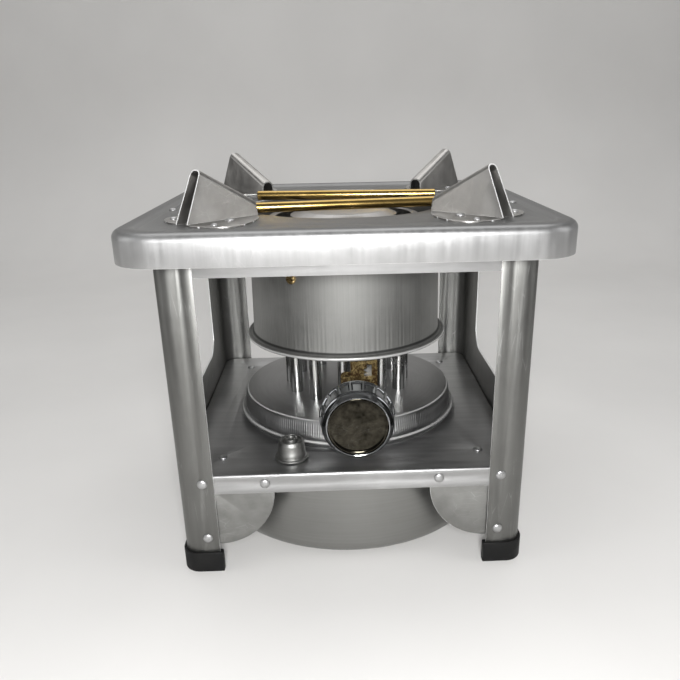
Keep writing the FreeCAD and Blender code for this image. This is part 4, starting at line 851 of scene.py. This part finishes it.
class STOVE_OT_wick_lift(bpy.types.Operator):
    """Finishes the tubes, rack, pinion, shaft, bracket and felt, and braids the wicks"""
    bl_idname = "stove.wick_lift"
    bl_label = "Wick Lift"

    WICK_RADIUS = 3.6 * MM
    WICK_ROWS = 96
    PRESSED_IN = 0.09               # share of the radius lost between the strands
    FACES_AROUND = 20

    def execute(self, context):
        colours = context.scene.stove_colours
        tube = round_finish("tube_steel", colours.bright_steel, (3.0, 60.0, 20.0),
                            rough=(0.2, 0.3), depth=0.03, cloud=60.0, contrast=0.1)
        dress(tube, "wick_tubes", "sleeve_pin", "knob_shaft", "shaft_clip", "shaft_bush")
        cut = sheet_finish("cut_steel", colours.bright_steel, (1.0, 1.0, 0.3),
                           rough=(0.22, 0.4), cloud=60.0)
        dress(cut, "pinion", "lift_rack")
        bracket = sheet_finish("bracket_zinc", colours.bracket, (1.0, 1.0, 0.3),
                               rough=(0.34, 0.52), cloud=220.0, contrast=0.35)
        stained(bracket, RUST, 330.0, 0.7)
        dress(bracket, "rack_tower")
        felt = fibre_finish("felt_pad", colours.felt, scale=2600.0, detail=6.0, fineness=0.7,
                            tones=(0.35, 0.65), shades=(0.6, 1.3), strength=0.8, roughness=0.95)
        dress(felt, "rack_seal")
        cotton = fibre_finish("wick_cotton", colours.cotton, scale=1500.0, detail=5.0, fineness=0.6,
                              tones=(0.3, 0.7), shades=(0.7, 1.15), strength=0.7, roughness=0.92)
        self.weave_wicks(context.scene.stove_sizes.braid_pitch, cotton)
        return {"FINISHED"}

    def weave_wicks(self, pitch, finish):
        """Braided cotton cords with a soft cut end, one where each plain wick stands."""
        cord = self.braided_cord(pitch)
        wicks = merged_copy("wicks")
        shape = bmesh.new()
        for island in islands(wicks):
            low, high = island_box(island)
            middle = (low + high) / 2
            append_shape(shape, cord, Matrix.Translation((middle.x, middle.y, 0.0)))
        wicks.free()
        cord.free()
        show(shape, "wick_cords", finish, "wick_lift", "cotton_wick", ["wicks"], crease=60.0)

    def braided_cord(self, pitch):
        """One wick on the Z axis, its side pressed in between the strands."""
        low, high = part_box("wicks")
        radius = self.WICK_RADIUS
        reach = high.z - low.z - 0.8 * MM
        profile = [(0.0, low.z), (radius * 0.8, low.z)]
        for row in range(self.WICK_ROWS + 1):
            profile.append((radius, low.z + reach * row / self.WICK_ROWS + 0.3 * MM))
        profile += [(radius * 0.86, high.z - 0.15 * MM), (radius * 0.5, high.z), (0.0, high.z)]
        cord = turned_shape(profile, self.FACES_AROUND, closed=False)
        for vertex in cord.verts:
            across = radius_of(vertex.co)
            if across < radius * 0.9:
                continue
            angle = angle_of(vertex.co)
            climb = FULL_TURN * vertex.co.z / pitch
            strand = abs(math.sin(2.5 * angle + climb)) * abs(math.sin(2.5 * angle - climb))
            push_out(vertex, -self.PRESSED_IN * across * (1 - strand))
        return cord


class STOVE_OT_rivets(bpy.types.Operator):
    """Heads every rivet with a smooth dome"""
    bl_idname = "stove.rivets"
    bl_label = "Rivets"

    HEAD_HEIGHT = 1.5 * MM
    RIM_HEIGHT = 0.12 * MM          # upright rim under the dome
    SHANK_RADIUS = 1.6 * MM
    DOME_STEPS = 8
    FACES_AROUND = 28

    def execute(self, context):
        finish = round_finish("rivet_metal", context.scene.stove_colours.aluminium,
                              (4.0, 200.0, 200.0), rough=(0.38, 0.5), depth=0.06, cloud=180.0,
                              contrast=0.12)
        for node in ("frame_rivets", "plate_rivets", "pot_support_rivets", "tower_rivets"):
            self.head(node, finish)
        return {"FINISHED"}

    def head(self, node, finish):
        """Turned rivets in place of a node's plain ones, heads outwards or up."""
        source = merged_copy(node)
        shape = bmesh.new()
        for island in islands(source):
            low, high = island_box(island)
            size = high - low
            along = min(range(3), key=lambda axis: abs(size[axis - 1] - size[axis - 2]))
            middle = (low + high) / 2
            outwards = Vector((0, 0, 0))
            outwards[along] = 1.0 if along == 2 or middle[along] > 0 else -1.0
            seat = middle + outwards * (size[along] / 2 - self.HEAD_HEIGHT)
            rivet = self.rivet(size[along - 1] / 2, size[along] - self.HEAD_HEIGHT)
            turn = Vector((0, 0, 1)).rotation_difference(outwards).to_matrix().to_4x4()
            append_shape(shape, rivet, Matrix.Translation(seat) @ turn)
            rivet.free()
        source.free()
        show(shape, node + "_domed", finish, body_with(node), slot_with(node), [node], crease=50.0)

    def rivet(self, radius, reach):
        """Dome at the origin, shank and upset tail below it."""
        profile = [(0.0, -reach), (radius * 0.55, -reach), (radius * 0.76, -reach + 0.2 * MM),
                   (radius * 0.8, -reach + 0.85 * MM), (self.SHANK_RADIUS, -reach + 0.9 * MM),
                   (self.SHANK_RADIUS, 0.0), (radius * 0.98, 0.0), (radius, self.RIM_HEIGHT)]
        for step in range(1, self.DOME_STEPS):
            angle = QUARTER_TURN * step / self.DOME_STEPS
            profile.append((radius * math.cos(angle) ** 0.9, self.RIM_HEIGHT
                            + (self.HEAD_HEIGHT - self.RIM_HEIGHT) * math.sin(angle)))
        profile.append((0.0, self.HEAD_HEIGHT))
        return turned_shape(profile, self.FACES_AROUND, closed=False)


class STOVE_OT_feet(bpy.types.Operator):
    """Moulds the rubber shoes"""
    bl_idname = "stove.feet"
    bl_label = "Rubber Shoes"

    ROUNDING = 0.55 * MM

    def execute(self, context):
        rubber = self.moulded_rubber(context.scene.stove_colours.rubber)
        soften(rubber, rubber, self.ROUNDING, *["foot_" + corner for corner in CORNERS])
        dress(rubber, "filler_gasket")
        return {"FINISHED"}

    def moulded_rubber(self, colour):
        """Dull rubber with fine pores and a little dust."""
        material, tree, shader, where = new_material("shoe_rubber", metallic=0.0, roughness=0.6)
        shader.inputs["Specular IOR Level"].default_value = 0.2
        pores = noise(tree, where, 900.0, 6.0, 0.7)
        dust = noise(tree, where, 70.0, 6.0, 0.6)
        dusty = stretch_range(tree, dust, 0.52, 0.78, 0.0, 0.06)
        feed(tree, shader.inputs, {
            "Base Color": blend_colours(tree, dusty, opaque(colour), opaque(DUST)),
            "Roughness": stretch_range(tree, dust, 0.3, 0.7, 0.42, 0.75),
            "Normal": relief(tree, pores, 0.35, 0.25 * MM)})
        return material


class STOVE_OT_knob(bpy.types.Operator):
    """Turns the fluted knob and its dished face"""
    bl_idname = "stove.knob"
    bl_label = "Knob"

    RADIUS = 24.5 * MM
    TAPER = 1.6 * MM
    INSIDE = 22.0 * MM              # nothing inside this radius is fluted
    SIDE_END = 4.6 * MM             # behind the front
    SIDE_ROWS = 22
    FLUTE_FACES = 16                # across one sunk panel
    # radius and depth behind the front, in millimetres
    BEZEL = ((22.7, 4.1), (22.3, 3.7), (21.9, 3.2), (21.4, 2.2), (20.6, 1.2), (20.2, 0.5), (19.9, 0.08),
             (19.65, 0.0), (19.4, 0.12), (19.2, 0.5), (19.1, 2.0), (2.5, 2.0), (2.5, 3.2), (6.0, 4.2))
    HOLLOW = ((7.6, 4.6), (18.4, 4.6))
    DISC = ((0.0, 2.0), (19.0, 2.0), (19.0, 0.75), (18.7, 0.5), (18.1, 0.5), (17.5, 0.85))
    DISH_RADIUS = 17.0 * MM
    DISH_EDGE = 1.15 * MM
    DISH_DEPTH = 0.28 * MM
    DISH_STEPS = 12
    FACES_AROUND = 96

    def execute(self, context):
        colours = context.scene.stove_colours
        low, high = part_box("knob")
        axis = Vector(((low.x + high.x) / 2, 0.0, (low.z + high.z) / 2))
        chrome = round_finish("knob_chrome", colours.chrome, (2.0, 40.0, 40.0), rough=(0.05, 0.12),
                              depth=0.03, cloud=50.0, contrast=0.08, at=axis, turn=(QUARTER_TURN, 0, 0))
        place = Matrix.Translation(axis) @ Matrix.Rotation(QUARTER_TURN, 4, "X")
        self.turn_cup(context.scene.stove_sizes, chrome, place, -low.y, -high.y)
        # Near-black colour and strong mottle: a painted dark, uneven reflection on the face.
        painted_dark_mirror = sheet_finish("knob_face_painted_dark", colours.face_painted_dark, (1.0, 1.0, 1.0),
                              rough=(0.07, 0.14), depth=0.03, cloud=34.0, contrast=0.9, scratches=0.1)
        self.turn_face(painted_dark_mirror, place, -low.y)
        return {"FINISHED"}

    def behind(self, front, points):
        """Profile from points that give a radius and a depth behind the front."""
        return [(radius * MM, front - depth * MM) for radius, depth in points]

    def turn_cup(self, sizes, finish, place, front, rear):
        """Tapered cup with sunk panels round its side, a bezel, a hollow back and a hub."""
        low_end = rear + 1.4 * MM
        high_end = front - self.SIDE_END
        side = []
        for row in range(self.SIDE_ROWS + 1):
            share = row / self.SIDE_ROWS
            side.append((self.RADIUS - self.TAPER * share, low_end + (high_end - low_end) * share))
        heel = [(self.RADIUS - 2.4 * MM, rear), (self.RADIUS - 0.9 * MM, rear + 0.1 * MM),
                (self.RADIUS - 0.2 * MM, rear + 0.6 * MM)]
        hub = [(6.0 * MM, rear), (7.4 * MM, rear)]
        skirt = [(20.0 * MM, rear + 3.0 * MM), (20.6 * MM, rear)]
        shape = turned_shape(heel + side + self.behind(front, self.BEZEL) + hub
                             + self.behind(front, self.HOLLOW) + skirt,
                             sizes.flute_count * self.FLUTE_FACES)
        for vertex in shape.verts:
            share = (vertex.co.z - low_end) / (high_end - low_end)
            if not 0.0 <= share <= 1.0 or radius_of(vertex.co) < self.INSIDE:
                continue
            # across is 0 in the middle of a panel and 1 halfway to the next
            across = abs((angle_of(vertex.co) * sizes.flute_count / FULL_TURN) % 1.0 - 0.5) * 2
            edge = held((0.86 - across) / 0.22)
            ends = min(held((share - 0.1) / 0.1), held((0.92 - share) / 0.08))
            push_out(vertex, -sizes.flute_depth * eased(edge) * eased(ends))
        bmesh.ops.transform(shape, matrix=place, verts=shape.verts)
        show(shape, "knob_cup", finish, "knob_shaft_body", "knob_chrome", ["knob"], crease=30.0)

    def turn_face(self, finish, place, front):
        """Disc in the bezel, rolled at its edge and dished in the middle."""
        profile = self.behind(front, self.DISC)
        for step in range(self.DISH_STEPS + 1):
            share = step / self.DISH_STEPS
            depth = self.DISH_EDGE + self.DISH_DEPTH * math.sin(share * QUARTER_TURN)
            profile.append((self.DISH_RADIUS * (1 - share), front - depth))
        shape = turned_shape(profile, self.FACES_AROUND, closed=False)
        bmesh.ops.transform(shape, matrix=place, verts=shape.verts)
        show(shape, "knob_disc", finish, "knob_shaft_body", "knob_chrome", ["knob_face"], crease=40.0)


class STOVE_OT_filler(bpy.types.Operator):
    """Turns the filler cap and finishes the neck"""
    bl_idname = "stove.filler"
    bl_label = "Filler Cap"

    FACES_AROUND = 96
    RING_PITCH = 0.55 * MM          # of the turning marks round the cap
    RING_DEPTH = 0.05 * MM
    RINGS_FROM = 3.8 * MM           # heights above the base
    RINGS_TO = 11.0 * MM
    RINGS_OUTSIDE = 7.4 * MM        # radius

    def execute(self, context):
        low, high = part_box("filler_cap")
        axis = Vector(((low.x + high.x) / 2, (low.y + high.y) / 2, 0.0))
        lathe = round_finish("turned_aluminium", context.scene.stove_colours.dull_aluminium,
                             (1.0, 2600.0, 2600.0), rough=(0.42, 0.52), depth=0.14, cloud=120.0,
                             at=axis)
        dress(lathe, "filler_neck")
        self.turn_cap(low.z, high.z, axis, lathe)
        return {"FINISHED"}

    def turn_cap(self, base, top, axis, finish):
        """Cap with a flange, a waist, a barrel-shaped side and a ringed top, hollow below."""
        full = (top - base) / MM
        # radius, height above the base and rounding, in millimetres
        corners = [(6.9, 0.0, 0.0), (11.0, 0.0, 0.3), (11.4, 0.4, 0.3), (11.4, 1.5, 0.4), (9.7, 1.6, 0.1),
                   (9.3, 2.1, 0.1), (9.6, 2.5, 0.2), (9.4, 5.2, 2.0), (8.9, full - 3.6, 3.0),
                   (7.7, full - 0.9, 0.8), (6.9, full - 1.1, 0.3), (6.5, full - 2.4, 0.2),
                   (4.6, full - 2.4, 0.2), (4.4, full - 0.2, 0.2), (4.0, full, 0.2), (2.6, full, 0.2),
                   (2.4, full - 1.2, 0.2), (0.0, full - 1.2, 0.0), (0.0, 9.4, 0.0), (6.9, 9.4, 0.0)]
        profile = [(radius * MM, base + height * MM) for radius, height in rounded_profile(corners)]
        shape = turned_shape(profile, self.FACES_AROUND)
        for vertex in shape.verts:
            height = vertex.co.z - base
            on_side = self.RINGS_FROM < height < self.RINGS_TO
            if on_side and radius_of(vertex.co) > self.RINGS_OUTSIDE:
                push_out(vertex, self.RING_DEPTH * math.sin(height / self.RING_PITCH * FULL_TURN))
        bmesh.ops.translate(shape, vec=axis, verts=shape.verts)
        show(shape, "filler_cap_turned", finish, "cap", "turned_aluminium", ["filler_cap"], crease=32.0)


class STOVE_OT_loose_bars(bpy.types.Operator):
    """Polishes the two loose brass bars"""
    bl_idname = "stove.loose_bars"
    bl_label = "Loose Bars"

    def execute(self, context):
        polish = sheet_finish("bar_brass", context.scene.stove_colours.brass, (0.03, 1.0, 1.0),
                              rough=(0.2, 0.28), depth=0.015, cloud=45.0, contrast=0.1, scratches=0.2)
        stained(polish, TARNISH, 60.0, 0.3, roughness_gain=0.1)
        dress(polish, "brass_rod_front", "brass_rod_rear")
        return {"FINISHED"}


class STOVE_OT_stage(bpy.types.Operator):
    """Sets the camera, floor, backdrop and lamps"""
    bl_idname = "stove.stage"
    bl_label = "Studio"

    IMAGE = 680.0                       # side of the square frame, in pixels
    FOCAL = 671.5957                    # in pixels
    CENTRE = (356.0816, 365.1184)       # where the lens axis meets the frame, in pixels
    PITCH = -0.3592                     # angles in radians
    YAW = 0.0289
    ROLL = -0.0185
    PLACE = (-0.0073, -0.5017, 0.2926)
    SENSOR = 36.0                       # in millimetres

    FLOOR_NEAR = -1.6
    FLOOR_FAR = 0.75
    FLOOR_HALF_WIDTH = 2.0
    SWEEP_RADIUS = 0.35
    SWEEP_STEPS = 12
    BACKDROP_HEIGHT = 1.8
    AIM = Vector((0.0, 0.0, 0.13))

    def execute(self, context):
        self.set_camera(context)
        studio = context.scene.stove_studio
        self.lay_floor(studio)
        for name, place, width, height, power in (
                ("key_lamp", (0.0, -0.64, 0.345), 0.14, 0.14, studio.key_power),
                ("top_lamp", (0.0, 0.55, 1.7), 1.8, 1.2, studio.top_power),
                ("left_lamp", (-1.2, -0.35, 0.6), 0.5, 0.9, studio.side_power),
                ("right_lamp", (1.2, -0.35, 0.6), 0.5, 0.9, studio.side_power)):
            self.hang_lamp(name, place, width, height, power)
        self.set_world(context, studio)
        context.scene.view_settings.view_transform = "Standard"
        return {"FINISHED"}

    def set_camera(self, context):
        flat = math.cos(self.PITCH)
        ahead = Vector((math.sin(self.YAW) * flat, math.cos(self.YAW) * flat, math.sin(self.PITCH)))
        right = Vector((math.cos(self.YAW), -math.sin(self.YAW), 0.0))
        above = right.cross(ahead)
        across = math.cos(self.ROLL) * right + math.sin(self.ROLL) * above
        upward = math.cos(self.ROLL) * above - math.sin(self.ROLL) * right
        lens = bpy.data.cameras.new("camera")
        lens.sensor_width = self.SENSOR
        lens.lens = self.SENSOR * self.FOCAL / self.IMAGE
        lens.shift_x = (self.IMAGE / 2 - self.CENTRE[0]) / self.IMAGE
        lens.shift_y = (self.CENTRE[1] - self.IMAGE / 2) / self.IMAGE
        lens.clip_start = 0.01
        camera = bpy.data.objects.new("camera", lens)
        turn = Matrix((across, upward, -ahead)).transposed().to_4x4()
        camera.matrix_world = Matrix.Translation(self.PLACE) @ turn
        context.scene.collection.objects.link(camera)
        context.scene.camera = camera

    def lay_floor(self, studio):
        """Floor that curves up into a backdrop."""
        material, tree, shader, where = new_material("studio_floor", metallic=0.0, roughness=0.75)
        share = stretch_range(tree, noise(tree, where, 5.0, 4.0), 0.3, 0.7, 0.0, 1.0)
        feed(tree, shader.inputs, {"Base Color": blend_colours(
            tree, share, opaque(studio.floor, 0.97), opaque(studio.floor, 1.03))})
        radius = self.SWEEP_RADIUS
        path = [(self.FLOOR_NEAR, 0.0)]
        for step in range(self.SWEEP_STEPS + 1):
            angle = QUARTER_TURN * step / self.SWEEP_STEPS
            path.append((self.FLOOR_FAR + radius * math.sin(angle), radius * (1 - math.cos(angle))))
        path.append((self.FLOOR_FAR + radius, self.BACKDROP_HEIGHT))
        sweep = bmesh.new()
        edge = [sweep.verts.new((-self.FLOOR_HALF_WIDTH, y, z)) for y, z in path]
        lines = [sweep.edges.new(pair) for pair in zip(edge, edge[1:])]
        grown = bmesh.ops.extrude_edge_only(sweep, edges=lines)["geom"]
        bmesh.ops.translate(sweep, vec=(2 * self.FLOOR_HALF_WIDTH, 0, 0),
                            verts=[part for part in grown if isinstance(part, bmesh.types.BMVert)])
        bmesh.ops.recalc_face_normals(sweep, faces=sweep.faces)
        floor = smooth_object(sweep, "studio_sweep", material)

    def hang_lamp(self, name, place, width, height, power):
        light = bpy.data.lights.new(name, "AREA")
        light.shape = "RECTANGLE"
        light.size = width
        light.size_y = height
        light.energy = power
        lamp = bpy.data.objects.new(name, light)
        lamp.location = place
        lamp.rotation_euler = (self.AIM - Vector(place)).to_track_quat("-Z", "Y").to_euler()
        bpy.context.scene.collection.objects.link(lamp)

    def set_world(self, context, studio):
        world = bpy.data.worlds.new("studio")
        world.use_nodes = True
        background = world.node_tree.nodes["Background"]
        background.inputs["Color"].default_value = opaque(studio.surround)
        background.inputs["Strength"].default_value = 1.0
        context.scene.world = world


class STOVE_PT_panel(bpy.types.Panel):
    """Lists the stove's settings and steps"""
    bl_label = "Stove"
    bl_idname = "STOVE_PT_panel"
    bl_space_type = "VIEW_3D"
    bl_region_type = "UI"
    bl_category = "Stove"

    def draw(self, context):
        scene = context.scene
        for settings in (scene.stove_colours, scene.stove_sizes, scene.stove_studio):
            column = self.layout.column(align=True)
            for name in settings.__annotations__:
                column.prop(settings, name)
        for step in STEPS:
            self.layout.operator(step.bl_idname)


STEPS = (STOVE_OT_finishes, STOVE_OT_frame_sheets, STOVE_OT_pot_supports, STOVE_OT_tank,
         STOVE_OT_burner, STOVE_OT_wick_lift, STOVE_OT_rivets, STOVE_OT_feet, STOVE_OT_knob,
         STOVE_OT_filler, STOVE_OT_loose_bars, STOVE_OT_stage)
CLASSES = (StoveColours, StoveSizes, StoveStudio, STOVE_PT_panel) + STEPS


def register():
    for each in CLASSES:
        bpy.utils.register_class(each)
    bpy.types.Scene.stove_colours = PointerProperty(type=StoveColours)
    bpy.types.Scene.stove_sizes = PointerProperty(type=StoveSizes)
    bpy.types.Scene.stove_studio = PointerProperty(type=StoveStudio)


def unregister():
    del bpy.types.Scene.stove_studio
    del bpy.types.Scene.stove_sizes
    del bpy.types.Scene.stove_colours
    for each in reversed(CLASSES):
        bpy.utils.unregister_class(each)


def main():
    register()
    bpy.ops.stove.finishes()
    bpy.ops.stove.frame_sheets()
    bpy.ops.stove.pot_supports()
    bpy.ops.stove.tank()
    bpy.ops.stove.burner()
    bpy.ops.stove.wick_lift()
    bpy.ops.stove.rivets()
    bpy.ops.stove.feet()
    bpy.ops.stove.knob()
    bpy.ops.stove.filler()
    bpy.ops.stove.loose_bars()
    bpy.ops.stove.stage()


if __name__ == "__main__":
    main()
